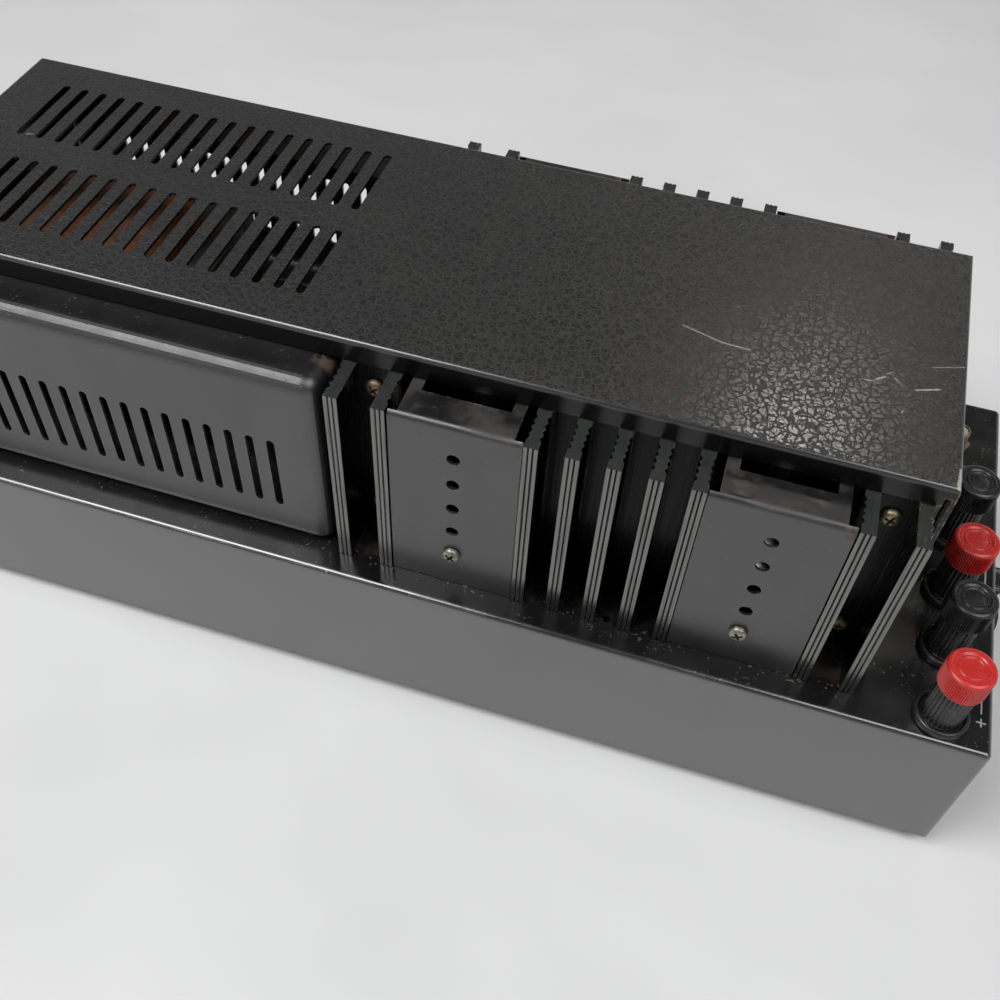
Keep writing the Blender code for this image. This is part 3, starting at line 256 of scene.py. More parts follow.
def geometryTree(name, sockets):
    tree = bpy.data.node_groups.new(name, "GeometryNodeTree")
    tree.interface.new_socket("Geometry", in_out="INPUT", socket_type="NodeSocketGeometry")
    for label, kind in sockets.items():
        tree.interface.new_socket(label, in_out="INPUT", socket_type="NodeSocket" + kind)
    tree.interface.new_socket("Geometry", in_out="OUTPUT", socket_type="NodeSocketGeometry")
    return tree, tree.nodes.new("NodeGroupInput").outputs, tree.nodes.new("NodeGroupOutput").inputs


def throughNodes(mesh, tree, values):
    obj = sceneObject("noded", mesh)
    modifier = obj.modifiers.new(tree.name, "NODES")
    modifier.node_group = tree
    for item in tree.interface.items_tree:
        if item.in_out == "INPUT" and item.name in values:
            modifier[item.identifier] = values[item.name]
    return settled(obj)


def finished(tree, geometry, given, result):  # made real and painted, as the tree's result
    realized = addNode(tree, "GeometryNodeRealizeInstances", {0: geometry}).outputs[0]
    painted = addNode(tree, "GeometryNodeSetMaterial", {"Geometry": realized, "Material": given["Finish"]})
    tree.links.new(painted.outputs[0], result[0])
    return tree


def slotTree():  # rows of slots with round ends cut through a sheet
    tree, given, result = geometryTree("slotRows", {
        "Count": "Int", "Rows": "Int", "Pitch": "Float", "Row step": "Float", "Length": "Float",
        "Width": "Float", "Depth": "Float", "First": "Vector", "Turn": "Rotation", "Finish": "Material"})
    radius = times(tree, given["Width"], 0.5)
    reach = times(tree, calc(tree, "SUBTRACT", given["Length"], given["Width"]), 0.5)
    hull = tree.nodes.new("GeometryNodeJoinGeometry")
    for sign in (-1, 1):
        end = addNode(tree, "GeometryNodeMeshCylinder",
                      {"Vertices": 20, "Radius": radius, "Depth": given["Depth"]}).outputs["Mesh"]
        shift = addNode(tree, "ShaderNodeCombineXYZ", {"Y": times(tree, reach, sign)}).outputs[0]
        placed = addNode(tree, "GeometryNodeTransform", {"Geometry": end, "Translation": shift})
        tree.links.new(placed.outputs[0], hull.inputs[0])
    slot = addNode(tree, "GeometryNodeConvexHull", {0: hull.outputs[0]}).outputs[0]
    along = addNode(tree, "ShaderNodeCombineXYZ", {"X": given["Pitch"]}).outputs[0]
    across = addNode(tree, "ShaderNodeCombineXYZ", {"Y": given["Row step"]}).outputs[0]
    line = addNode(tree, "GeometryNodeMeshLine", {"Count": given["Count"], "Offset": along}).outputs[0]
    rows = addNode(tree, "GeometryNodeMeshLine", {"Count": given["Rows"], "Offset": across}).outputs[0]
    grid = addNode(tree, "GeometryNodeInstanceOnPoints", {"Points": rows, "Instance": line}).outputs[0]
    points = addNode(tree, "GeometryNodeRealizeInstances", {0: grid}).outputs[0]
    slots = addNode(tree, "GeometryNodeInstanceOnPoints", {"Points": points, "Instance": slot}).outputs[0]
    whole = addNode(tree, "GeometryNodeRealizeInstances", {0: slots}).outputs[0]
    cutter = addNode(tree, "GeometryNodeTransform", {
        "Geometry": whole, "Translation": given["First"], "Rotation": given["Turn"]}).outputs[0]
    cut = addNode(tree, "GeometryNodeMeshBoolean", operation="DIFFERENCE")
    tree.links.new(given["Geometry"], cut.inputs[0])
    tree.links.new(cutter, cut.inputs[1])
    return finished(tree, cut.outputs[0], given, result)


def screwTree():  # a screw on every point, along its facing, with a random turn of the recess
    tree, given, result = geometryTree("screwSet", {"Screw": "Object", "Seed": "Int", "Finish": "Material"})
    shape = addNode(tree, "GeometryNodeObjectInfo", {"Object": given["Screw"]}).outputs["Geometry"]
    facing = addNode(tree, "GeometryNodeInputNamedAttribute", {"Name": "facing"}, data_type="FLOAT_VECTOR")
    aim = addNode(tree, "FunctionNodeAlignRotationToVector",
                  {"Vector": facing.outputs[0]}, axis="Z").outputs[0]
    chance = addNode(tree, "FunctionNodeRandomValue",
                     {3: 2 * math.pi, "Seed": given["Seed"]}, data_type="FLOAT")
    spin = addNode(tree, "FunctionNodeAxisAngleToRotation", {"Angle": chance.outputs[1]}).outputs[0]
    turn = addNode(tree, "FunctionNodeRotateRotation", {0: aim, 1: spin}, rotation_space="LOCAL").outputs[0]
    placed = addNode(tree, "GeometryNodeInstanceOnPoints",
                     {"Points": given["Geometry"], "Instance": shape, "Rotation": turn}).outputs[0]
    return finished(tree, placed, given, result)


def fluteTree():  # flutes round a turned piece, between two heights
    tree, given, result = geometryTree("fluting", {
        "Count": "Float", "Depth": "Float", "Inner": "Float", "Low": "Float", "High": "Float",
        "Fade": "Float", "Finish": "Material"})
    place = tree.nodes.new("GeometryNodeInputPosition").outputs[0]
    x, y, z = axes(tree, place)
    angle = calc(tree, "ARCTAN2", y, x)
    radius = calc(tree, "SQRT", calc(tree, "ADD", times(tree, x, x), times(tree, y, y)))
    wave = calc(tree, "COSINE", times(tree, angle, given["Count"]))
    dent = times(tree, calc(tree, "SUBTRACT", 1.0, wave), times(tree, given["Depth"], 0.5))
    rise = spread(tree, z, given["Low"], calc(tree, "ADD", given["Low"], given["Fade"]))
    fall = spread(tree, z, calc(tree, "SUBTRACT", given["High"], given["Fade"]), given["High"], 1.0, 0.0)
    outer = calc(tree, "GREATER_THAN", radius, given["Inner"])
    mask = times(tree, rise, fall, outer)
    share = calc(tree, "DIVIDE", times(tree, dent, mask), most(tree, radius, 1e-5))
    keep = calc(tree, "SUBTRACT", 1.0, share)
    flat = addNode(tree, "ShaderNodeCombineXYZ",
                   {"X": times(tree, x, keep), "Y": times(tree, y, keep), "Z": z}).outputs[0]
    shaped = addNode(tree, "GeometryNodeSetPosition",
                     {"Geometry": given["Geometry"], "Position": flat}).outputs[0]
    return finished(tree, shaped, given, result)


slotRows = slotTree()
screwSet = screwTree()
fluting = fluteTree()
print("geometry trees ready")


# shader groups

def shaderGroup(name, inputs, output):
    tree = bpy.data.node_groups.new(name, "ShaderNodeTree")
    for label, value in inputs.items():
        kind = "NodeSocketVector" if isinstance(value, tuple) else "NodeSocketFloat"
        socket = tree.interface.new_socket(label, in_out="INPUT", socket_type=kind)
        socket.default_value = value
    tree.interface.new_socket(output, in_out="OUTPUT", socket_type="NodeSocketFloat")
    return tree, tree.nodes.new("NodeGroupInput").outputs, tree.nodes.new("NodeGroupOutput").inputs[0]


def placeGroup(tree, group, inputs):
    return addNode(tree, "ShaderNodeGroup", inputs, node_tree=group).outputs[0]


def crackleGroup():  # irregular plates of wrinkled paint with narrow grooves between them
    tree, given, result = shaderGroup("crackleGrain", {"Vector": (0, 0, 0), "Scale": 200.0}, "Height")
    scaled = vectorCalc(tree, "SCALE", given["Vector"])
    tree.links.new(given["Scale"], scaled.node.inputs["Scale"])
    shift = vectorCalc(tree, "SUBTRACT", noise(tree, scaled, 0.9, 4.0, output="Color"), (0.5, 0.5, 0.5))
    warped = vectorCalc(tree, "ADD", scaled, vectorCalc(tree, "MULTIPLY", shift, (1.3, 1.3, 1.3)))
    plates, chips = [addNode(tree, "ShaderNodeTexVoronoi", {"Vector": warped, "Scale": scale},
                             feature="DISTANCE_TO_EDGE").outputs["Distance"] for scale in (1.0, 2.3)]
    wide = spread(tree, plates, 0.02, 0.12)
    fine = spread(tree, chips, 0.0, 0.1, 0.45, 1.0)
    tree.links.new(times(tree, wide, fine), result)
    return tree


def edgeWearGroup():  # where edges are rubbed, broken up by noise
    tree, given, result = shaderGroup("edgeWear", {
        "Vector": (0, 0, 0), "Radius": 0.0012, "Amount": 0.5}, "Mask")
    soft = addNode(tree, "ShaderNodeBevel", {"Radius": given["Radius"]}, samples=4).outputs[0]
    true = tree.nodes.new("ShaderNodeNewGeometry").outputs["Normal"]
    bend = calc(tree, "SUBTRACT", 1.0, vectorCalc(tree, "DOT_PRODUCT", soft, true, output=1))
    edge = spread(tree, bend, 0.02, 0.16)
    broken = spread(tree, noise(tree, given["Vector"], 420.0, 4.0, 0.65), 0.46, 0.62)
    patches = spread(tree, noise(tree, given["Vector"], 38.0, 3.0), 0.42, 0.66)
    worn = times(tree, broken, patches, edge)
    tree.links.new(calc(tree, "MULTIPLY", worn, given["Amount"], True), result)
    return tree


def dustGroup():  # film and crumbs of dust on what faces up
    tree, given, result = shaderGroup("dustFilm", {"Vector": (0, 0, 0), "Film": 0.2, "Crumbs": 0.3}, "Mask")
    upward = spread(tree, facingUp(tree), 0.35, 0.95)
    cloud = spread(tree, noise(tree, given["Vector"], 55.0, 5.0, 0.62), 0.38, 0.72)
    specks = spread(tree, noise(tree, given["Vector"], 640.0, 1.0), 0.68, 0.75)
    where = spread(tree, noise(tree, given["Vector"], 60.0, 2.0), 0.42, 0.6)
    film = times(tree, cloud, given["Film"])
    crumbs = times(tree, specks, where, given["Crumbs"])
    tree.links.new(times(tree, calc(tree, "ADD", film, crumbs, True), upward), result)
    return tree


def strokeGroup():  # a scratch, chip or printed line between two points
    tree, given, result = shaderGroup("stroke", {
        "Vector": (0, 0, 0), "From": (0, 0, 0), "To": (0, 0, 0), "Width": 0.0004, "Ragged": 0.0}, "Mask")
    along = vectorCalc(tree, "SUBTRACT", given["To"], given["From"])
    away = vectorCalc(tree, "SUBTRACT", given["Vector"], given["From"])
    reach = vectorCalc(tree, "DOT_PRODUCT", away, along, output=1)
    length = vectorCalc(tree, "DOT_PRODUCT", along, along, output=1)
    foot = vectorCalc(tree, "SCALE", along)
    tree.links.new(calc(tree, "DIVIDE", reach, length, True), foot.node.inputs["Scale"])
    gap = vectorCalc(tree, "LENGTH", vectorCalc(tree, "SUBTRACT", away, foot), output=1)
    rough = times(tree, noise(tree, given["Vector"], 700.0, 3.0, 0.7), given["Ragged"])
    ratio = calc(tree, "DIVIDE", calc(tree, "ADD", gap, rough), given["Width"])
    tree.links.new(spread(tree, ratio, 0.35, 0.55, 1.0, 0.0), result)
    return tree


def boxGroup():  # inside of a box, with soft sides
    tree, given, result = shaderGroup("softBox", {
        "Vector": (0, 0, 0), "Middle": (0, 0, 0), "Half": (1, 1, 1), "Soft": 0.004}, "Mask")
    away = vectorCalc(tree, "ABSOLUTE", vectorCalc(tree, "SUBTRACT", given["Vector"], given["Middle"]))
    far = most(tree, *axes(tree, vectorCalc(tree, "SUBTRACT", away, given["Half"])))
    tree.links.new(spread(tree, calc(tree, "DIVIDE", far, given["Soft"]), -0.5, 0.5, 1.0, 0.0), result)
    return tree


crackleGrain = crackleGroup()
edgeWear = edgeWearGroup()
dustFilm = dustGroup()
strokeMask = strokeGroup()
softBox = boxGroup()


def dusted(tree, place, shade, film, crumbs, colour):  # the dusted colour, and where the dust is
    mask = placeGroup(tree, dustFilm, {"Vector": place, "Film": film, "Crumbs": crumbs})
    return mixColour(tree, mask, shade, colour), mask


def rubbedEdges(tree, place, radius, amount):
    return placeGroup(tree, edgeWear, {"Vector": place, "Radius": radius, "Amount": amount})


def boxMask(tree, place, middle, half, soft):
    return placeGroup(tree, softBox, {"Vector": place, "Middle": middle, "Half": half, "Soft": soft})


def strokes(tree, place, lines):  # each line is its ends, width and raggedness
    masks = []
    for start, end, width, ragged in lines:
        inputs = {"Vector": place, "From": start, "To": end, "Width": width, "Ragged": ragged}
        masks.append(placeGroup(tree, strokeMask, inputs))
    return most(tree, *masks)


def newFinish(name, roughness=0.4, metallic=0.0, ior=1.5):
    material = bpy.data.materials.new(name)
    material.use_nodes = True
    tree = material.node_tree
    shader = tree.nodes["Principled BSDF"]
    shader.inputs["Roughness"].default_value = roughness
    shader.inputs["Metallic"].default_value = metallic
    shader.inputs["IOR"].default_value = ior
    place = tree.nodes.new("ShaderNodeTexCoord").outputs["Object"]
    return material, tree, shader, place


def feed(tree, shader, **sockets):
    for name, value in sockets.items():
        tree.links.new(value, shader.inputs[name.replace("_", " ")])


def bump(tree, height, distance):
    inputs = {"Height": height, "Distance": distance, "Strength": 1.0}
    return addNode(tree, "ShaderNodeBump", inputs).outputs[0]


dustColour = rgb(0.20, 0.175, 0.15)
rustColour = rgb(0.095, 0.042, 0.022)
bareColour = rgb(0.42, 0.37, 0.30)
fleckColour = rgb(0.07, 0.065, 0.06)
tarnishColour = rgb(0.10, 0.075, 0.05)


# fins along the flanks, from the rear
finRow = {"rearInset": 53.5 * mm, "pairStep": 17.1 * mm, "bayStep": 53.4 * mm, "pitch": 14 * mm,
          "close": 5}


def finPlaces(row):
    steps = [row["pairStep"], row["bayStep"]] + [row["pitch"]] * (row["close"] - 1)
    steps += [row["bayStep"], row["pairStep"]]
    places = [panHigh.x - row["rearInset"]]
    for step in steps:
        places.append(places[-1] - step)
    return sorted(places)


fins = finPlaces(finRow)
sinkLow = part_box("heat_sink_near")[0]


# lid

# the grain's groove colour is darker than the base: painted shade in the grooves
lidLook = {"base": rgb(0.014, 0.0135, 0.013), "grooveShade": rgb(0.005, 0.005, 0.005), "grain": 310.0,
           "relief": 0.00006, "roughness": (0.22, 0.46), "ior": 1.9, "wear": 0.9, "edge": 1.1 * mm,
           "quietSkirt": 0.75, "film": 0.015, "crumbs": 0.12, "haze": rgb(0.024, 0.022, 0.019),
           "spot": ((90.0, -50.0), (91.5, -50.6), 4.2, 2.2), "spotColour": rgb(0.13, 0.03, 0.015)}
lidTop = lidHigh.z
lidScratches = [  # from, to, width, raggedness, in millimetres on the lid's top
    ((81.7, -15.3), (96.3, -19.6), 0.7, 0.15), ((96.3, -19.6), (106.2, -20.1), 0.7, 0.15),
    ((145.7, -21.5), (148.6, -21.2), 1.1, 0.5), ((149.4, -20.0), (152.2, -17.6), 1.5, 0.7),
    ((152.4, -16.2), (154.2, -15.0), 0.8, 0.4), ((155.2, -17.2), (158.4, -20.4), 1.1, 0.7),
    ((162.7, -20.9), (170.4, -17.9), 1.4, 0.6), ((167.3, -7.6), (179.2, -3.4), 0.6, 0.3),
    ((127.0, -17.0), (130.0, -17.6), 0.6, 0.3), ((158.7, -33.4), (159.2, -32.4), 0.8, 0.2),
    ((178.6, -61.0), (179.2, -53.0), 3.4, 1.4), ((179.3, -28.0), (179.7, -24.0), 0.9, 0.6),
    ((138.9, -61.9), (140.4, -61.4), 0.9, 0.3), ((-191.5, 8.0), (-189.0, 9.0), 0.8, 0.4)]


def onLid(lines):
    return [((*(x * mm for x in start), lidTop), (*(x * mm for x in end), lidTop), width * mm, ragged * mm)
            for start, end, width, ragged in lines]


def lidPaint(look):
    material, tree, shader, place = newFinish("grainedPaint", ior=look["ior"])
    rise = facingUp(tree)
    grain = placeGroup(tree, crackleGrain, {"Vector": place, "Scale": look["grain"]})
    height = most(tree, grain, spread(tree, rise, 0.9, 0.99, 1.0, 0.0))  # only the top is grained
    hushed = spread(tree, rise, 0.02, 0.25, look["quietSkirt"], 0.0)  # the folded sides mirror less
    # the grain's grooves are painted darker than the plates: painted shade in the grooves
    shade = mixColour(tree, height, look["grooveShade"], look["base"])
    cloud = noise(tree, place, 26.0, 4.0, 0.6)
    shade = mixColour(tree, spread(tree, cloud, 0.42, 0.7, 0.0, 0.1), shade, look["haze"])
    shade = dusted(tree, place, shade, look["film"], look["crumbs"], dustColour)[0]
    spot = strokes(tree, place, onLid([look["spot"]]))
    shade = mixColour(tree, times(tree, spot, 0.6), shade, look["spotColour"])
    scars = strokes(tree, place, onLid(lidScratches))
    rear = spread(tree, axes(tree, place)["X"], 0.02, 0.14)
    worn = times(tree, rubbedEdges(tree, place, look["edge"], look["wear"]), rear)
    shade = mixColour(tree, most(tree, scars, worn), shade, bareColour)
    rough = spread(tree, height, 0.2, 0.9, look["roughness"][1], look["roughness"][0])
    rough = calc(tree, "ADD", rough, spread(tree, cloud, 0.4, 0.8, 0.0, 0.04))
    feed(tree, shader, Base_Color=shade, Roughness=rough, Metallic=hushed,
         Normal=bump(tree, height, look["relief"]))
    return material


# smooth paint of the pan, the vented covers and the transistor covers

def satinPaint(name, look, extra=None):
    material, tree, shader, place = newFinish(name, ior=look["ior"])
    cloud = noise(tree, place, 30.0, 5.0, 0.6)
    shade = mixColour(tree, spread(tree, cloud, 0.35, 0.7), look["base"], look["tint"])
    fleck = spread(tree, noise(tree, place, 620.0, 2.0), 0.66, 0.76, 0.0, look["flecks"])
    shade = mixColour(tree, fleck, shade, fleckColour)
    shade, matt = dusted(tree, place, shade, look["film"], look["crumbs"], look["dust"])
    if extra:
        shade, mark = extra(tree, place, shade)
        matt = most(tree, matt, mark)
    shade = mixColour(tree, rubbedEdges(tree, place, look["edge"], look["wear"]), shade, bareColour)
    streak = vectorCalc(tree, "MULTIPLY", place, (1.0, 1.0, 0.25))
    rough = spread(tree, noise(tree, streak, 60.0, 4.0, 0.6), 0.3, 0.75, *look["roughness"])
    rough = calc(tree, "ADD", rough, times(tree, matt, 0.6), True)
    hushed = spread(tree, facingUp(tree), 0.8, 0.98, 0.0, look["quietTop"])  # tops mirror less
    peel = noise(tree, place, 520.0, 3.0, 0.55)
    feed(tree, shader, Base_Color=shade, Roughness=rough, Metallic=hushed,
         Normal=bump(tree, peel, look["peel"]))
    return material


panLook = {"base": rgb(0.008, 0.008, 0.009), "tint": rgb(0.013, 0.013, 0.013), "flecks": 0.4, "film": 0.03,
           "crumbs": 0.5, "dust": dustColour, "edge": 0.0016, "wear": 0.3, "roughness": (0.15, 0.25),
           "peel": 0.00003, "ior": 2.4, "quietTop": 0.35}
ventLook = dict(panLook, film=0.06, crumbs=0.8, dust=rgb(0.13, 0.105, 0.085), roughness=(0.34, 0.44),
                ior=1.95, quietTop=0.55)
coverLook = dict(panLook, film=0.8, crumbs=0.3, wear=0.6, dust=rgb(0.05, 0.041, 0.035), edge=0.0009,
                 roughness=(0.30, 0.40), ior=1.9)
polarity = {"row": 4.6 * mm, "first": 13.7 * mm, "pairStep": 58.5 * mm, "arm": 1.6 * mm, "ink": 0.75 * mm,
            "line": (3.9 * mm, 22.0 * mm), "minus": 28.2 * mm, "ragged": 0.12 * mm,
            "colour": rgb(0.62, 0.61, 0.58)}
soilLook = {  # each place is its inset, reach and softness
    "between": (14 * mm, 12 * mm, 4 * mm), "tips": (2 * mm, 4.5 * mm, 4 * mm),
    "channel": (13 * mm, 9 * mm, 5 * mm), "depth": 3 * mm, "film": rgb(0.032, 0.025, 0.020),
    "heap": rgb(0.055, 0.040, 0.029), "grit": rgb(0.12, 0.10, 0.08)}


def polarityLines():
    lines = []
    rowX, arm = panHigh.x - polarity["row"], polarity["arm"]
    for pair in (0, 1):
        y = panLow.y + polarity["first"] + pair * polarity["pairStep"]
        minus = y + polarity["minus"]
        for start, end in (((rowX - arm, y), (rowX + arm, y)), ((rowX, y - arm), (rowX, y + arm)),
                           ((rowX, y + polarity["line"][0]), (rowX, y + polarity["line"][1])),
                           ((rowX - arm, minus), (rowX + arm, minus))):
            lines.append(((*start, deckZ), (*end, deckZ), polarity["ink"], polarity["ragged"]))
    return lines


def flankMask(tree, place, start, end, inset, reach, soft):  # on the deck by the fins, along both flanks
    masks = []
    for side in (-1, 1):
        middle = ((start + end) / 2, side * (abs(sinkLow.y) - inset), deckZ)
        masks.append(boxMask(tree, place, middle, ((end - start) / 2, reach, soilLook["depth"]), soft))
    return most(tree, *masks)


def panMarks(tree, place, shade):  # dirt and rust between the fins, and the terminals' polarity marks
    grime = noise(tree, place, 130.0, 5.0, 0.65)
    soil = flankMask(tree, place, fins[0], fins[-1], *soilLook["between"])
    fringe = flankMask(tree, place, fins[0], fins[-1], *soilLook["tips"])
    brown = times(tree, soil, spread(tree, grime, 0.42, 0.68))
    shade = mixColour(tree, times(tree, brown, 0.75), shade, soilLook["film"])
    for start, end in ((fins[0], fins[1]), (fins[-2], fins[-1])):  # heaps in the screws' channels
        heap = flankMask(tree, place, start, end, *soilLook["channel"])
        heap = times(tree, heap, spread(tree, grime, 0.3, 0.55))
        shade = mixColour(tree, times(tree, heap, 0.85), shade, soilLook["heap"])
        brown = most(tree, brown, heap)
    rusty = times(tree, soil, spread(tree, noise(tree, place, 190.0, 3.0), 0.60, 0.72), 0.4)
    shade = mixColour(tree, rusty, shade, rustColour)
    crumbs = spread(tree, noise(tree, place, 700.0, 1.0), 0.63, 0.70)
    clumps = spread(tree, noise(tree, place, 85.0, 2.0), 0.42, 0.58)
    grit = times(tree, crumbs, clumps, most(tree, soil, fringe))
    shade = mixColour(tree, grit, shade, soilLook["grit"])
    ink = strokes(tree, place, polarityLines())
    shade = mixColour(tree, times(tree, ink, 0.85), shade, polarity["colour"])
    dirt = times(tree, most(tree, brown, grit), 0.4)
    return shade, most(tree, dirt, times(tree, ink, 0.5))


def rustyCorners(spots):  # rust where the folded corners were scratched
    def extra(tree, place, shade):
        rust = spread(tree, noise(tree, place, 210.0, 5.0, 0.65), 0.66, 0.74, 0.0, 0.5)
        rust = times(tree, rust, spread(tree, facingUp(tree), 0.2, 0.9))
        eaten = spread(tree, noise(tree, place, 260.0, 4.0, 0.6), 0.42, 0.56)
        for middle, size in spots:
            spot = boxMask(tree, place, middle, (size, size, size), size)
            rust = most(tree, rust, times(tree, spot, eaten))
        return mixColour(tree, times(tree, rust, 0.8), shade, rustColour), rust
    return extra


def upperCorners(start, along, inward, size):  # rear upper corners of the folded covers
    spots = []
    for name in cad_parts:
        if name.startswith(start):
            low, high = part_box(name)
            y = low.y + inward if low.y < 0 else high.y - inward
            spots.append(((high.x - along, y, high.z - 2 * mm), size))
    return spots


# other finishes

def anodised(look):  # black extrusion with sawn ends and a painted highlight on the fin tips
    material, tree, shader, place = newFinish("blackAnodised")
    sawn = spread(tree, facingUp(tree), 0.6, 0.95)
    lines = noise(tree, vectorCalc(tree, "MULTIPLY", place, (1.0, 1.0, 0.02)), 1500.0, 2.0)
    depth = calc(tree, "ABSOLUTE", axes(tree, place)["Y"])
    # the outermost band of each fin is painted light grey: painted highlight on the fin tips
    tip = spread(tree, depth, -sinkLow.y - look["rubbedAndSheen"], -sinkLow.y - 0.2 * mm)
    shade = mixColour(tree, tip, look["flank"], look["tip"])
    shade = mixColour(tree, spread(tree, lines, 0.45, 0.75, 0.0, 0.4), shade, look["flank"])
    marks = noise(tree, vectorCalc(tree, "MULTIPLY", place, (1.0, 0.06, 1.0)), 1800.0, 2.0)
    ends = mixColour(tree, spread(tree, marks, 0.35, 0.7), look["sawn"], look["sawnDark"])
    shade = mixColour(tree, sawn, shade, ends)
    shade, dust = dusted(tree, place, shade, 0.04, 0.4, dustColour)
    shade = mixColour(tree, rubbedEdges(tree, place, 0.5 * mm, 0.5), shade, look["bare"])
    rough = calc(tree, "ADD", spread(tree, lines, 0.3, 0.7, 0.2, 0.3), times(tree, sawn, 0.4))
    metal = calc(tree, "SUBTRACT", 1.0, most(tree, sawn, dust))
    feed(tree, shader, Base_Color=shade, Roughness=rough, Metallic=metal, Normal=bump(tree, lines, 0.00004))
    return material


def plated(name, look):  # screws, terminals' washers, jacks, brackets
    material, tree, shader, place = newFinish(name, metallic=1.0)
    cloud = noise(tree, place, 260.0, 4.0, 0.6)
    shade = mixColour(tree, spread(tree, cloud, 0.35, 0.7), look["base"], look["stain"])
    tarnish = spread(tree, noise(tree, place, 900.0, 3.0), 0.56, 0.72)
    shade = mixColour(tree, times(tree, tarnish, look["tarnish"]), shade, tarnishColour)
    rough = spread(tree, cloud, 0.3, 0.7, *look["roughness"])
    feed(tree, shader, Base_Color=shade, Roughness=rough, Normal=bump(tree, cloud, 0.00003))
    return material


def moulded(name, look):  # plastics and rubber
    material, tree, shader, place = newFinish(name, ior=look["ior"])
    cloud = noise(tree, place, 180.0, 4.0, 0.55)
    shade = mixColour(tree, spread(tree, cloud, 0.35, 0.7), look["base"], look["tint"])
    shade = dusted(tree, place, shade, look["film"], look["film"], look["dust"])[0]
    shade = mixColour(tree, rubbedEdges(tree, place, 0.5 * mm, look["wear"]), shade, look["rubbedAndSheen"])
    rough = spread(tree, noise(tree, place, 420.0, 3.0), 0.3, 0.7, *look["roughness"])
    feed(tree, shader, Base_Color=shade, Roughness=rough, Normal=bump(tree, cloud, 0.00004))
    return material


def layered(name, look):  # stacked laminations, wound tape and boards: stripes along one axis
    material, tree, shader, place = newFinish(name, metallic=look["metallic"])
    stretch = vectorCalc(tree, "MULTIPLY", place, look["across"])
    stripe = noise(tree, stretch, look["stripes"], 2.0)
    cloud = noise(tree, place, 90.0, 4.0, 0.6)
    shade = mixColour(tree, spread(tree, stripe, 0.4, 0.6), look["base"], look["gap"])
    shade = mixColour(tree, spread(tree, cloud, 0.45, 0.7, 0.0, 0.6), shade, look["stain"])
    shade = dusted(tree, place, shade, 0.5, 0.4, dustColour)[0]
    rough = spread(tree, cloud, 0.3, 0.7, *look["roughness"])
    feed(tree, shader, Base_Color=shade, Roughness=rough, Normal=bump(tree, stripe, look["relief"]))
    return material


def glowLens(look):
    material, tree, shader, place = newFinish("amberLens", roughness=look["roughness"])
    cloud = noise(tree, place, 400.0, 3.0)
    shade = mixColour(tree, spread(tree, cloud, 0.3, 0.7), look["base"], look["deep"])
    feed(tree, shader, Base_Color=shade, Normal=bump(tree, cloud, 0.00003))
    shader.inputs["Transmission Weight"].default_value = look["clear"]
    return material


# the tip colour and its band's width paint a highlight on the fin tips
finLook = {"flank": rgb(0.016, 0.016, 0.016), "tip": rgb(0.21, 0.21, 0.205), "rubbedAndSheen": 1.0 * mm,
           "bare": rgb(0.4, 0.4, 0.39), "sawn": rgb(0.014, 0.018, 0.016),
           "sawnDark": rgb(0.007, 0.009, 0.008)}
plasticLook = {"base": rgb(0.011, 0.011, 0.012), "tint": rgb(0.018, 0.018, 0.019), "film": 0.08,
               "wear": 0.1, "dust": rgb(0.14, 0.13, 0.12), "rubbedAndSheen": rgb(0.10, 0.10, 0.10),
               "roughness": (0.24, 0.38), "ior": 1.55}
redLook = dict(plasticLook, base=rgb(0.56, 0.026, 0.022), tint=rgb(0.50, 0.020, 0.018), film=0.05,
               rubbedAndSheen=rgb(0.62, 0.10, 0.08), dust=rgb(0.45, 0.20, 0.17), roughness=(0.22, 0.34))
rubberLook = dict(plasticLook, base=rgb(0.016, 0.016, 0.016), roughness=(0.6, 0.8))
zincLook = {"base": rgb(0.36, 0.355, 0.30), "stain": rgb(0.24, 0.235, 0.19), "tarnish": 0.6,
            "roughness": (0.3, 0.5)}
yellowLook = dict(zincLook, base=rgb(0.38, 0.32, 0.21), stain=rgb(0.26, 0.20, 0.13), tarnish=0.7,
                  roughness=(0.4, 0.6))
nickelLook = dict(zincLook, base=rgb(0.66, 0.64, 0.60), stain=rgb(0.52, 0.50, 0.46), tarnish=0.25,
                  roughness=(0.16, 0.3))
steelLook = dict(zincLook, base=rgb(0.40, 0.39, 0.38), stain=rgb(0.30, 0.28, 0.25), tarnish=0.45)
coreLook = {"base": rgb(0.050, 0.045, 0.040), "gap": rgb(0.018, 0.016, 0.015),
            "stain": rgb(0.12, 0.05, 0.025), "across": (0.05, 0.05, 1.0), "stripes": 1900.0,
            "metallic": 0.4, "roughness": (0.4, 0.6), "relief": 0.0001}
tapeLook = {"base": rgb(0.30, 0.10, 0.035), "gap": rgb(0.17, 0.055, 0.02), "stain": rgb(0.36, 0.16, 0.07),
            "across": (0.06, 1.0, 0.06), "stripes": 500.0, "metallic": 0.0, "roughness": (0.4, 0.6),
            "relief": 0.0002}
boardLook = dict(tapeLook, base=rgb(0.30, 0.19, 0.07), gap=rgb(0.24, 0.15, 0.05),
                 stain=rgb(0.18, 0.11, 0.04), across=(1.0, 1.0, 1.0), stripes=300.0, relief=0.00005)
sleeveLook = dict(plasticLook, base=rgb(0.02, 0.045, 0.13), tint=rgb(0.03, 0.06, 0.16), film=0.4)
lensLook = {"base": rgb(0.75, 0.28, 0.02), "deep": rgb(0.55, 0.16, 0.01), "roughness": 0.12, "clear": 0.35}
insertLook = dict(plasticLook, base=rgb(0.62, 0.60, 0.55), tint=rgb(0.50, 0.48, 0.43), film=0.1)

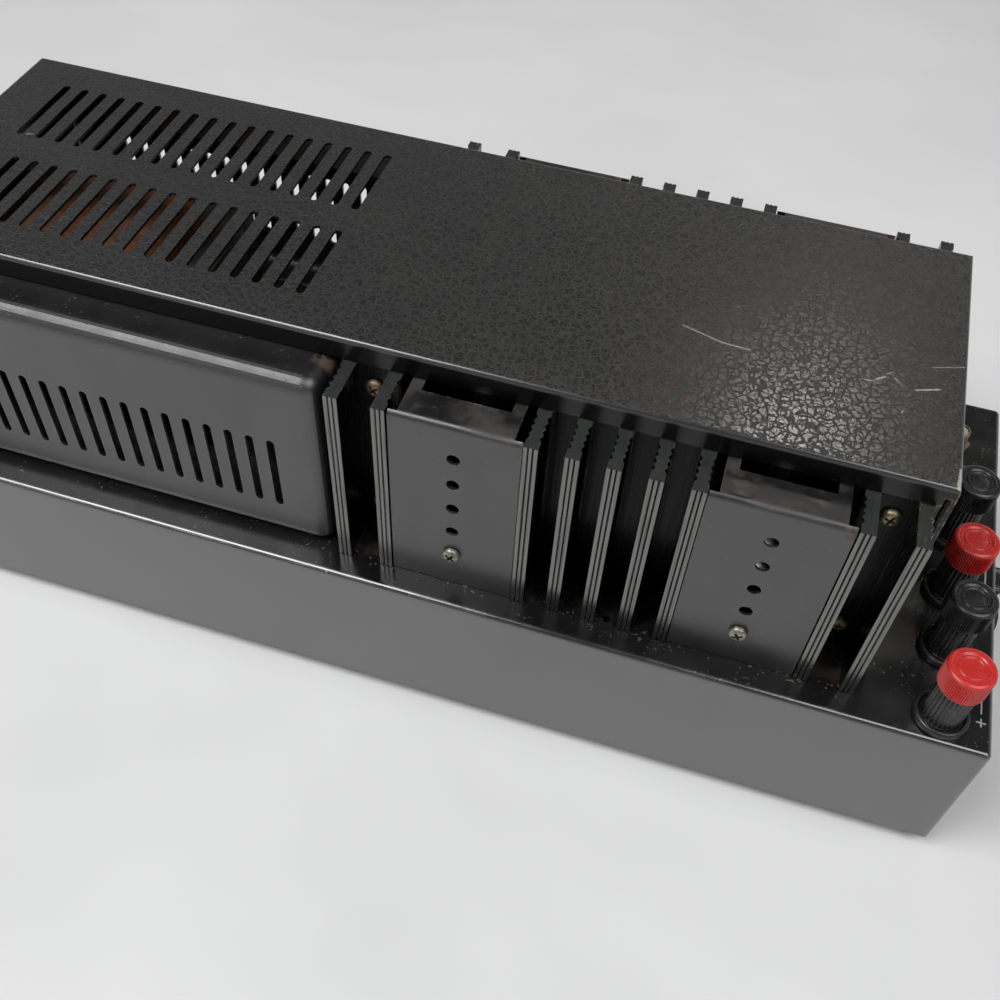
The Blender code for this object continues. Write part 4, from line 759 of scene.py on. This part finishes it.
grainedPaint = lidPaint(lidLook)
panPaint = satinPaint("satinPaint", panLook, panMarks)
ventPaint = satinPaint("ventPaint", ventLook,
                       rustyCorners(upperCorners("vent_cover_", 2 * mm, 17 * mm, 4 * mm)))
coverPaint = satinPaint("coverPaint", coverLook,
                        rustyCorners(upperCorners("transistor_cover_", 2 * mm, 2 * mm, 3 * mm)))
basePaint = satinPaint("basePaint", dict(panLook, crumbs=0.0, wear=0.5))
finFinish = anodised(finLook)
blackPlastic = moulded("blackPlastic", plasticLook)
redPlastic = moulded("redPlastic", redLook)
blackRubber = moulded("blackRubber", rubberLook)
paleInsert = moulded("paleInsert", insertLook)
sleeveBlue = moulded("sleeveBlue", sleeveLook)
zincPlate = plated("zincPlate", zincLook)
yellowZinc = plated("yellowZinc", yellowLook)
nickelPlate = plated("nickelPlate", nickelLook)
plainSteel = plated("plainSteel", steelLook)
lamination = layered("lamination", coreLook)
coilTape = layered("coilTape", tapeLook)
boardLaminate = layered("boardLaminate", boardLook)
amberLens = glowLens(lensLook)
print("finishes ready:", len(bpy.data.materials))


# chassis pan

pan = {"sheet": 1.5 * mm, "bend": 2.4 * mm, "steps": 6, "holeInset": 3.5 * mm, "hole": 3.2 * mm,
       "cut": 8 * mm}


def makePan():
    mesh = sheetBox(panLow, panHigh, Vector((0, 0, -1)), pan["sheet"], pan["bend"], pan["steps"])
    gap = (fins[4] + fins[5]) / 2
    edge = sinkLow.y + pan["holeInset"]
    mesh = throughNodes(mesh, slotRows, {
        "Count": 1, "Rows": 2, "Row step": -2 * edge, "Length": pan["hole"], "Width": pan["hole"],
        "Depth": pan["cut"], "First": (gap, edge, deckZ), "Finish": panPaint})
    newPiece("chassisPan", mesh, panPaint, replaced=["chassis_pan"])


# tower's cover

lid = {"sheet": 1.2 * mm, "bend": 1.6 * mm, "steps": 5, "skirt": 9 * mm, "edge": 1.5 * mm, "relief": 4 * mm,
       "pitch": 8.46 * mm, "slotWidth": 3.2 * mm, "slotLength": 38 * mm, "rowStep": 52.2 * mm,
       "margin": 23.4 * mm, "cut": 6 * mm}


def slotCount(room):  # slots at the lid's pitch that fill the room
    return int(room / lid["pitch"] + 0.5) + 1


def makeLid():
    skirtFoot = lidHigh.z - lid["skirt"]
    mesh = sheetBox(lidLow, lidHigh, Vector((0, 0, -1)), lid["sheet"], lid["bend"], lid["steps"],
                    lambda edge: min(vert.co.z for vert in edge.verts) > skirtFoot)
    cuts = []
    for sign in (-1, 1):
        inner, outer = sorted(sign * (lidHigh.y + reach) for reach in (-lid["sheet"] - spare, spare))
        start, end = lidLow.x + lid["edge"], lidHigh.x - lid["edge"]
        cuts.append(((start, inner, lidLow.z - spare), (end, outer, skirtFoot)))
        for near, far in ((start, start + lid["relief"] / 2), (end - lid["relief"] / 2, end)):
            cuts.append(((near, inner, skirtFoot - spare), (far, outer, skirtFoot + lid["relief"])))
    for cut in cuts:
        mesh = cutMesh(mesh, boxesMesh("lidCut", cut))
    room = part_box("vent_cover_near")[1].x - lidLow.x - 2 * lid["margin"]
    mesh = throughNodes(mesh, slotRows, {
        "Count": slotCount(room), "Rows": 2, "Pitch": lid["pitch"], "Row step": lid["rowStep"],
        "Length": lid["slotLength"], "Width": lid["slotWidth"], "Depth": lid["cut"],
        "First": (lidLow.x + lid["margin"], -lid["rowStep"] / 2, lidHigh.z), "Finish": grainedPaint})
    newPiece("towerCover", mesh, grainedPaint, replaced=["top_cover"])


# vented side covers

vent = {"sheet": 1.2 * mm, "round": 6.5 * mm, "steps": 8, "margin": 20.4 * mm, "slotLength": 36 * mm,
        "slotHeight": 36.5 * mm}


def makeVents():
    low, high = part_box("vent_cover_near")
    mesh = sheetBox(low, high, Vector((0, 1, 0)), vent["sheet"], vent["round"], vent["steps"])
    room = high.x - low.x - 2 * vent["margin"]
    count = slotCount(room)
    first = high.x - vent["margin"] - (count - 1) * lid["pitch"]
    mesh = throughNodes(mesh, slotRows, {
        "Count": count, "Rows": 1, "Pitch": lid["pitch"], "Length": vent["slotLength"],
        "Width": lid["slotWidth"], "Depth": lid["cut"], "First": (first, low.y, deckZ + vent["slotHeight"]),
        "Turn": (math.pi / 2, 0, 0), "Finish": ventPaint})
    for side, shape in (("near", mesh), ("far", mirrored(mesh))):
        newPiece(f"ventCover{side.capitalize()}", shape, ventPaint,
                 replaced=[f"vent_cover_{side}"])


# transistor covers

cover = {"sheet": 1.2 * mm, "bend": 2.6 * mm, "steps": 8, "shoulder": 3.2 * mm, "shoulderInset": 1.6 * mm,
         "ear": 4.5 * mm, "notch": 5.5 * mm, "screw": 18.3 * mm, "topMargin": 16 * mm, "holes": 4,
         "hole": 5 * mm}


def coverSection(low, high):
    face, back, top, foot = low.y, high.y, high.z, low.z
    centre = (face + cover["bend"], top - cover["bend"])

    def bendArc(radius, angles):
        return [(centre[0] + radius * math.cos(a), centre[1] + radius * math.sin(a)) for a in angles]
    sweep = [math.pi - math.pi / 2 * step / cover["steps"] for step in range(cover["steps"] + 1)]
    outline = [(face, foot)] + bendArc(cover["bend"], sweep) + [(back, top), (back, top - cover["sheet"])]
    outline += bendArc(cover["bend"] - cover["sheet"], reversed(sweep)) + [(face + cover["sheet"], foot)]
    return outline


def makeTransistorCover(end):
    low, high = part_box(f"transistor_cover_near_{end}")
    work = bmesh.new()
    outline = coverSection(low, high)
    ends = [[work.verts.new((x, y, z)) for y, z in outline] for x in (low.x, high.x)]
    for ring in ends:
        work.faces.new(ring)
    for index in range(len(outline)):
        work.faces.new((ends[0][index - 1], ends[0][index], ends[1][index], ends[1][index - 1]))
    bmesh.ops.recalc_face_normals(work, faces=work.faces)
    mesh = toMesh("cover", work)
    x = (low.x + high.x) / 2
    half = (high.x - low.x) / 2
    foot, head = high.z - cover["bend"], high.z + spare
    front = low.y + cover["shoulderInset"]
    ear = half - cover["shoulder"] - cover["ear"]
    for cut in (((x - half - spare, front, foot), (x - half + cover["shoulder"], high.y + spare, head)),
                ((x + half - cover["shoulder"], front, foot), (x + half + spare, high.y + spare, head)),
                ((x - ear, high.y - cover["notch"], foot), (x + ear, high.y + spare, head))):
        mesh = cutMesh(mesh, boxesMesh("coverCut", cut))
    screwZ = deckZ + cover["screw"]
    pitch = (high.z - screwZ - cover["topMargin"]) / cover["holes"]
    mesh = throughNodes(mesh, slotRows, {
        "Count": 1, "Rows": cover["holes"], "Row step": pitch, "Length": cover["hole"],
        "Width": cover["hole"], "Depth": lid["cut"], "First": (x, low.y, screwZ + pitch),
        "Turn": (math.pi / 2, 0, 0), "Finish": coverPaint})
    for side, shape in (("near", mesh), ("far", mirrored(mesh))):
        newPiece(f"transistorCover{side.capitalize()}{end.capitalize()}", shape, coverPaint,
                 replaced=[f"transistor_cover_{side}_{end}"])


# screws

panHead = {"radius": 3.5 * mm, "height": 2.4 * mm, "edge": 0.9 * mm, "recess": 2.1 * mm, "arm": 1.1 * mm,
           "depth": 1.7 * mm, "shank": 1.9 * mm, "shankLength": 3.0 * mm, "steps": 28}
coverScrew = {"lift": 0.25 * mm, "seed": 3}
sinkScrew = {"heights": (15 * mm, 77 * mm), "inset": 1.1 * mm, "seed": 8}
baseScrew = {"endInset": 14 * mm, "sideInset": 9 * mm, "lift": 0.02 * mm, "seed": 5}


def screwShape(name, size):  # pan head with a cross recess
    radius, top = size["radius"], size["height"]
    profile = [(0, top), (radius * 0.45, top * 0.985), (radius * 0.75, top * 0.86),
               (radius * 0.93, top * 0.62), (radius, size["edge"]), (radius, 0), (size["shank"], 0),
               (size["shank"], -size["shankLength"]), (0, -size["shankLength"])]
    mesh = latheMesh(name, profile, size["steps"])
    reach, arm = size["recess"], size["arm"] / 2
    for low, high in (((-reach, -arm, top - size["depth"]), (reach, arm, top + mm)),
                      ((-arm, -reach, top - size["depth"]), (arm, reach, top + mm))):
        mesh = cutMesh(mesh, boxesMesh("recess", (low, high)))
    obj = sceneObject(name, mesh)
    obj.hide_render = True
    return obj


def pointsMesh(name, places):  # points with a facing for each
    mesh = bpy.data.meshes.new(name)
    mesh.from_pydata([place for place, facing in places], [], [])
    facing = mesh.attributes.new("facing", "FLOAT_VECTOR", "POINT")
    for index, (place, direction) in enumerate(places):
        facing.data[index].vector = direction
    return mesh


def makeScrews():
    shape = screwShape("panHeadScrew", panHead)

    def screws(name, places, seed, finish, replaced=()):
        mesh = throughNodes(pointsMesh(name, places), screwSet,
                            {"Screw": shape, "Seed": seed, "Finish": finish})
        newPiece(name, mesh, finish, replaced=replaced)

    places, replaced = [], []
    for end in ("front", "rear"):
        for side, sign in (("near", -1), ("far", 1)):
            node = f"cover_screw_{side}_{end}"
            low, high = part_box(node)
            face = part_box(f"transistor_cover_{side}_{end}")
            y = face[0].y if sign < 0 else face[1].y
            middle = (low + high) / 2
            places.append(((middle.x, y + sign * coverScrew["lift"], middle.z), (0, sign, 0)))
            replaced.append(node)
    screws("coverScrews", places, coverScrew["seed"], zincPlate, replaced)
    places = []
    for sign in (-1, 1):
        for x in ((fins[0] + fins[1]) / 2, (fins[-2] + fins[-1]) / 2):
            for height in sinkScrew["heights"]:
                places.append(((x, sign * (lidHigh.y - sinkScrew["inset"]), deckZ + height), (0, sign, 0)))
    screws("sinkScrews", places, sinkScrew["seed"], yellowZinc)
    places = []
    low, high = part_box("base_plate")
    for x in (low.x + baseScrew["endInset"], 0, high.x - baseScrew["endInset"]):
        for y in (low.y + baseScrew["sideInset"], high.y - baseScrew["sideInset"]):
            places.append(((x, y, low.z - baseScrew["lift"]), (0, 0, -1)))
    screws("baseScrews", places, baseScrew["seed"], zincPlate)
    bpy.data.objects.remove(shape)


# screw terminals

post = {"stud": 2.5 * mm, "studTop": 20 * mm, "floor": 1.3 * mm, "shank": 4 * mm, "shankFoot": -14 * mm,
        "lip": 0.9 * mm, "rim": 3.3 * mm, "clearance": 0.5 * mm, "capFlutes": 64, "capFlute": 0.45 * mm,
        "barrelFlutes": 26, "barrelFlute": 0.7 * mm, "dish": 5.3 * mm, "dishDepth": 0.55 * mm,
        "ring": 0.35 * mm, "steps": 64, "smooth": 60}


def fluted(name, profile, count, sides, values, isRing=False):  # a turned piece with flutes round it
    mesh = latheMesh(name, profile, count * sides, isRing)
    return throughNodes(mesh, fluting, dict(values, Count=float(count), Finish=blackPlastic))


def makePost(number):
    nutBody = f"terminal_nut_{number}"
    low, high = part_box(f"post_cup_{number}")
    middle = (low + high) / 2
    place = Vector((middle.x, middle.y, deckZ))
    radius = (high.y - low.y) / 2
    barrelLow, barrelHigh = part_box(f"post_barrel_{number}")
    barrel = (barrelHigh.y - barrelLow.y) / 2
    well, rim, bore = barrel + 1 * mm, post["rim"], post["stud"] + post["clearance"]
    cup = [(0, post["studTop"]), (post["stud"], post["studTop"]), (post["stud"], post["floor"]),
           (well, post["floor"]), (well, rim - 0.4 * mm), (radius - post["lip"], rim),
           (radius, rim - 1 * mm), (radius, seat), (post["shank"], seat),
           (post["shank"], post["shankFoot"]), (0, post["shankFoot"])]
    mesh = latheMesh("cup", roundProfile(cup, 0.5 * mm), post["steps"])
    newPiece(f"postCup{number}", moved(mesh, place), blackPlastic,
             replaced=[f"post_cup_{number}"])
    low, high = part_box(f"post_washer_{number}")
    foot, head = low.z - deckZ, high.z - deckZ
    washer = [(bore, head), (barrel - 0.3 * mm, head), (barrel, (foot + head) / 2),
              (barrel - 0.3 * mm, foot), (bore, foot)]
    mesh = latheMesh("washer", washer, post["steps"], True)
    newPiece(f"postWasher{number}", moved(mesh, place), nickelPlate,
             f"terminal_washer_{number}", [f"post_washer_{number}"])
    foot, head = barrelLow.z - deckZ, barrelHigh.z - deckZ
    profile = [(barrel - 0.6 * mm, head), (barrel, head - 0.8 * mm), (barrel, head - 1.6 * mm),
               (barrel, foot + 1.6 * mm), (barrel, foot + 0.6 * mm), (barrel - 0.5 * mm, foot),
               (bore, foot), (bore, head)]
    mesh = fluted("barrel", profile, post["barrelFlutes"], 8, {
        "Depth": post["barrelFlute"], "Inner": barrel - 0.9 * mm, "Low": foot + 0.5 * mm,
        "High": head - 0.7 * mm, "Fade": 0.6 * mm}, True)
    newPiece(f"postBarrel{number}", moved(mesh, place), blackPlastic, nutBody,
             [f"post_barrel_{number}"], post["smooth"])
    low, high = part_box(f"post_cap_{number}")
    radius = (high.y - low.y) / 2
    foot, head = low.z - deckZ, high.z - deckZ
    dish, floor, ring = post["dish"], head - post["dishDepth"], head - post["dishDepth"] + post["ring"]
    profile = [(0, floor), (dish - 1.3 * mm, floor), (dish - 1.0 * mm, ring), (dish - 0.5 * mm, ring),
               (dish - 0.2 * mm, floor), (dish, floor), (dish + 0.7 * mm, head), (radius - 1.4 * mm, head),
               (radius - 0.4 * mm, head - 0.5 * mm), (radius, head - 1.6 * mm), (radius, head - 3 * mm),
               (radius, foot + 1.6 * mm), (radius, foot + 0.5 * mm), (radius - 0.5 * mm, foot), (0, foot)]
    mesh = fluted("cap", roundProfile(profile, 0.3 * mm, 2), post["capFlutes"], 6, {
        "Depth": post["capFlute"], "Inner": radius - 0.8 * mm, "Low": foot + 0.1 * mm,
        "High": head - 1.0 * mm, "Fade": 0.5 * mm})
    finish, slot = (redPlastic, "red_plastic") if number % 2 else (blackPlastic, "black_plastic")
    newPiece(f"postCap{number}", moved(mesh, place), finish, nutBody, [f"post_cap_{number}"],
             post["smooth"])


# input jacks

jack = {"shell": 4.15 * mm, "wall": 0.75 * mm, "height": 10 * mm, "nut": 6.4 * mm, "nutHeight": 2.4 * mm,
        "bore": 1.6 * mm, "inset": 0.8 * mm, "floor": 1 * mm, "tail": 3 * mm, "tailFoot": -12 * mm,
        "fit": 0.05 * mm, "steps": 48}


def makeJack(side):
    low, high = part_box(f"input_jack_{side}")
    place = Vector(((low.x + high.x) / 2, (low.y + high.y) / 2, deckZ))
    outer, top, tail = jack["shell"], jack["height"], jack["tail"]
    inner, core, nutTop = outer - jack["wall"], top - jack["inset"], seat + jack["nutHeight"]
    shell = [(inner, core), (inner, top), (outer, top), (outer, nutTop), (outer, seat), (tail, seat),
             (tail, jack["tailFoot"]), (0, jack["tailFoot"]), (0, jack["floor"]), (inner, jack["floor"])]
    mesh = latheMesh("shell", roundProfile(shell, 0.25 * mm, 2), jack["steps"])
    loose = outer + jack["fit"]
    bolt = [(jack["nut"], nutTop), (jack["nut"], seat), (loose, seat), (loose, nutTop)]
    nut = latheMesh("nut", bolt, 6, True)
    newPiece(f"jackShell{side.capitalize()}", moved(joined("jack", mesh, nut), place), yellowZinc,
             replaced=[f"input_jack_{side}"])
    foot, bore, wall = jack["floor"] + 0.1 * mm, jack["bore"], inner - jack["fit"]
    insert = [(bore, core), (wall, core), (wall, foot), (0, foot), (0, foot + 0.5 * mm),
              (bore, foot + 0.5 * mm)]
    mesh = latheMesh("insert", insert, jack["steps"], True)
    newPiece(f"jackInsert{side.capitalize()}", moved(mesh, place), paleInsert)


# fittings of the end walls, and feet

def middleOf(node):
    low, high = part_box(node)
    return (low + high) / 2


def onWall(node, x):  # where the fitting's axis meets the wall
    middle = middleOf(node)
    return Vector((x, middle.y, middle.z))


gland = {"bore": 3.6 * mm, "neck": 6.2 * mm, "wall": 1.8 * mm, "shoulder": 4.8 * mm, "taper": 1.9 * mm,
         "fit": 0.98, "steps": 48}


def makeGland():
    low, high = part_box("cord_gland")
    radius, nose, tail = (high.z - low.z) / 2 * gland["fit"], high.x - panHigh.x, low.x - panHigh.x
    bore, neck, wall = gland["bore"], gland["neck"], gland["wall"]
    profile = [(bore, nose), (radius - gland["taper"], nose), (radius, gland["shoulder"]), (radius, seat),
               (neck, seat), (neck, -wall), (radius, -wall), (radius, tail), (bore, tail)]
    mesh = latheMesh("gland", roundProfile(profile, 0.8 * mm), gland["steps"], True)
    newPiece("cordGland", moved(mesh, onWall("cord_gland", panHigh.x), rearward), blackRubber,
             replaced=["cord_gland"])


fuse = {"flange": 2.2 * mm, "bore": 3.6 * mm, "neck": 5.8 * mm, "floor": -12.1 * mm, "steps": 56,
        "fit": 0.985, "clearance": 0.5 * mm, "flutes": 36, "flute": 0.45 * mm, "slot": 1.4 * mm,
        "slotDepth": 1.2 * mm, "smooth": 60}


def makeFuse():
    place = onWall("fuse_holder", panHigh.x)
    low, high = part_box("fuse_holder")
    radius, flange, tail = (high.z - low.z) / 2, fuse["flange"], low.x - panHigh.x
    bore, neck, floor = fuse["bore"], fuse["neck"], fuse["floor"]
    holder = [(0, floor), (bore, floor), (bore, flange), (radius - 0.8 * mm, flange),
              (radius, flange - 0.8 * mm), (radius, seat), (neck, seat), (neck, tail), (0, tail)]
    mesh = latheMesh("holder", roundProfile(holder, 0.3 * mm), fuse["steps"])
    newPiece("fuseHolder", moved(mesh, place, rearward), blackPlastic,
             replaced=["fuse_holder"])
    low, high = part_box("fuse_cap")
    radius, end, foot = (high.z - low.z) / 2 * fuse["fit"], high.x - panHigh.x, flange + seat
    stem, tail = bore - fuse["clearance"], low.x - panHigh.x
    cap = [(0, end), (radius - 1.2 * mm, end), (radius, end - 1 * mm), (radius, end - 2.2 * mm),
           (radius, foot + 1.2 * mm), (radius, foot + 0.3 * mm), (radius - 0.3 * mm, foot), (stem, foot),
           (stem, tail), (0, tail)]
    mesh = fluted("fuseCap", roundProfile(cap, 0.25 * mm, 2), fuse["flutes"], 6, {
        "Depth": fuse["flute"], "Inner": radius - 0.8 * mm, "Low": foot + 0.1 * mm, "High": end - 0.7 * mm,
        "Fade": 0.5 * mm})
    reach, half = radius + mm, fuse["slot"] / 2
    coinSlot = ((-half, -reach, end - fuse["slotDepth"]), (half, reach, end + mm))
    mesh = cutMesh(mesh, boxesMesh("coinSlot", coinSlot))
    newPiece("fuseCap", moved(mesh, place, rearward), blackPlastic, "fuse_knob",
             ["fuse_cap"], fuse["smooth"])


switch = {"clearance": 0.5 * mm, "room": 4 * mm, "neck": 7.8 * mm, "edge": 0.9 * mm, "steps": 56}


def makeSwitch():
    place = onWall("switch_body", panLow.x)
    low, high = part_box("switch_body")
    radius, bezel, tail = (high.z - low.z) / 2, panLow.x - low.x, panLow.x - high.x
    tip = panLow.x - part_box("power_button")[0].x
    stem = panLow.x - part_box("power_button")[1].x
    push = (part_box("power_button")[1].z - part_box("power_button")[0].z) / 2
    well, floor = push + switch["clearance"], stem - switch["room"]
    neck, edge = switch["neck"], switch["edge"]
    body = [(0, floor), (well, floor), (well, bezel), (radius - edge, bezel), (radius, bezel - edge),
            (radius, seat), (neck, seat), (neck, tail), (0, tail)]
    mesh = latheMesh("switch", roundProfile(body, 0.4 * mm), switch["steps"])
    newPiece("switchBody", moved(mesh, place, forward), blackPlastic,
             replaced=["switch_body"])
    button = [(0, tip - 0.5 * mm), (push - 2 * mm, tip - 0.4 * mm), (push - edge, tip), (push, tip - edge),
              (push, stem), (0, stem)]
    mesh = latheMesh("button", roundProfile(button, 0.6 * mm), switch["steps"])
    newPiece("powerButton", moved(mesh, place, forward), blackPlastic, "button",
             ["power_button"])


pilot = {"radius": 3.55 * mm, "dome": 2.0 * mm, "flange": 1.4 * mm, "edge": 0.4 * mm, "fit": 0.99,
         "steps": 40}


def makeLamp():
    low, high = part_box("pilot_lamp")
    reach, tail = panLow.x - low.x, panLow.x - high.x
    radius, dome, top, edge = pilot["radius"], pilot["dome"], pilot["flange"], pilot["edge"]
    flange = (high.z - low.z) / 2 * pilot["fit"]
    profile = [(0, reach)]
    for step in range(1, 9):
        angle = math.pi / 2 * step / 8
        profile.append((radius * math.sin(angle), dome + (reach - dome) * math.cos(angle)))
    profile += [(radius, top), (flange - edge, top), (flange, top - edge), (flange, seat), (radius, seat),
                (radius, tail), (0, tail)]
    mesh = latheMesh("lamp", profile, pilot["steps"])
    newPiece("pilotLamp", moved(mesh, onWall("pilot_lamp", panLow.x), forward), amberLens,
             replaced=["pilot_lamp"])


rubberFoot = {"straight": 2.7 * mm, "taper": 1.6 * mm, "hollow": 0.8 * mm, "ring": (4 * mm, 4.6 * mm),
              "steps": 48}


def makeFeet():
    for end in ("front", "rear"):
        for side in ("near", "far"):
            node = f"foot_{end}_{side}"
            low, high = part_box(node)
            radius, top, hollow = (high.x - low.x) / 2, high.z, rubberFoot["hollow"]
            ringOuter, ringInner = [radius - inset for inset in rubberFoot["ring"]]
            profile = [(0, top), (radius, top), (radius, top - rubberFoot["straight"]),
                       (radius - rubberFoot["taper"], 0), (ringOuter, 0), (ringInner, hollow), (0, hollow)]
            mesh = latheMesh("foot", roundProfile(profile, 0.6 * mm), rubberFoot["steps"])
            place = Vector(((low.x + high.x) / 2, (low.y + high.y) / 2, 0))
            newPiece(f"foot{end.capitalize()}{side.capitalize()}", moved(mesh, place), blackRubber,
                     replaced=[node])


makePan()
makeLid()
makeVents()
for coverEnd in ("front", "rear"):
    makeTransistorCover(coverEnd)
makeScrews()
print("sheet metal and screws made")
for postNumber in range(1, 5):
    makePost(postNumber)
for jackSide in ("left", "right"):
    makeJack(jackSide)
makeGland()
makeFuse()
makeSwitch()
makeLamp()
makeFeet()
print("turned pieces made")


# finishes of the frame's own pieces that stay

kept = {
    "heat_sink_": finFinish, "base_plate": basePaint, "side_frame_": plainSteel,
    "power_transistor_": nickelPlate, "transformer_core": lamination, "transformer_coil": coilTape,
    "transformer_bracket_": plainSteel, "filter_capacitor_": sleeveBlue, "capacitor_clamp": plainSteel,
    "rectifier": blackPlastic, "driver_board_": boardLaminate}
for nodeName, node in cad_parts.items():
    for start, finish in kept.items():
        if nodeName.startswith(start):
            node.data.materials.clear()
            node.data.materials.append(finish)


# floor, light and camera

stage = {"size": 6.0, "colour": rgb(0.80, 0.80, 0.80), "foldShade": rgb(0.75, 0.75, 0.753),
         "sky": rgb(0.97, 0.985, 1.0), "horizon": 0.42, "zenith": 0.05}


def makeFloor():
    work = bmesh.new()
    bmesh.ops.create_grid(work, x_segments=2, y_segments=2, size=stage["size"] / 2)
    floor = sceneObject("paperFloor", toMesh("paperFloor", work))
    material, tree, shader, place = newFinish("palePaper", roughness=0.7)
    cloud = noise(tree, place, 5.0, 3.0, 0.5)
    # darker patches stand for the paper's folds: painted shade
    shade = mixColour(tree, spread(tree, cloud, 0.3, 0.7), stage["colour"], stage["foldShade"])
    feed(tree, shader, Base_Color=shade, Normal=bump(tree, noise(tree, place, 9.0, 2.0), 0.004))
    floor.data.materials.append(material)


lights = {
    "key": {"place": (-1.0, -0.75, 2.05), "aim": (0, -0.05, 0), "size": 1.4, "power": 36},
    "fill": {"place": (1.1, -0.5, 1.9), "aim": (0, -0.05, 0), "size": 1.6, "power": 21},
    "glow": {"place": (0.235, 0.93, 1.16), "aim": (0.13, -0.05, 0.17), "size": 0.16, "power": 0.88,
             "colour": (1.0, 0.95, 0.87)},
}


def makeLight(name, light):
    lamp = bpy.data.lights.new(name, "AREA")
    lamp.shape = "DISK"
    lamp.size = light["size"]
    lamp.energy = light["power"]
    lamp.color = light.get("colour", (1.0, 1.0, 1.0))
    obj = bpy.data.objects.new(name, lamp)
    bpy.context.scene.collection.objects.link(obj)
    aim = Vector(light["aim"]) - Vector(light["place"])
    turn = aim.to_track_quat("-Z", "Y").to_matrix().to_4x4()
    obj.matrix_world = Matrix.Translation(light["place"]) @ turn


def makeWorld():
    world = bpy.data.worlds.new("studio")
    bpy.context.scene.world = world
    world.use_nodes = True
    tree = world.node_tree
    tree.nodes.clear()
    up = axes(tree, tree.nodes.new("ShaderNodeTexCoord").outputs["Generated"])["Z"]
    strength = spread(tree, up, 0.15, 0.7, stage["horizon"], stage["zenith"])
    glow = addNode(tree, "ShaderNodeBackground", {"Color": stage["sky"], "Strength": strength})
    out = tree.nodes.new("ShaderNodeOutputWorld")
    tree.links.new(glow.outputs[0], out.inputs["Surface"])


camera = {  # from the deck's near rear corner
    "offset": (-128.73 * mm, -230.30 * mm, 356.61 * mm), "forward": (-0.155358, 0.620105, -0.768982),
    "right": (0.955365, 0.292325, 0.042716), "lens": 40.27}


def makeCamera():
    data = bpy.data.cameras.new("photoView")
    data.sensor_width = 36
    data.lens = camera["lens"]
    data.clip_start = 0.01
    obj = bpy.data.objects.new("photoView", data)
    bpy.context.scene.collection.objects.link(obj)
    ahead, right = Vector(camera["forward"]).normalized(), Vector(camera["right"]).normalized()
    up = right.cross(ahead)
    turn = Matrix((right, up, -ahead)).transposed()
    corner = Vector((panHigh.x, panLow.y, panHigh.z))
    obj.matrix_world = Matrix.Translation(corner + Vector(camera["offset"])) @ turn.to_4x4()
    bpy.context.scene.camera = obj


makeFloor()
for lightName, lightSizes in lights.items():
    makeLight(lightName, lightSizes)
makeWorld()
makeCamera()
bpy.context.scene.view_settings.view_transform = "Standard"
print("stage ready")
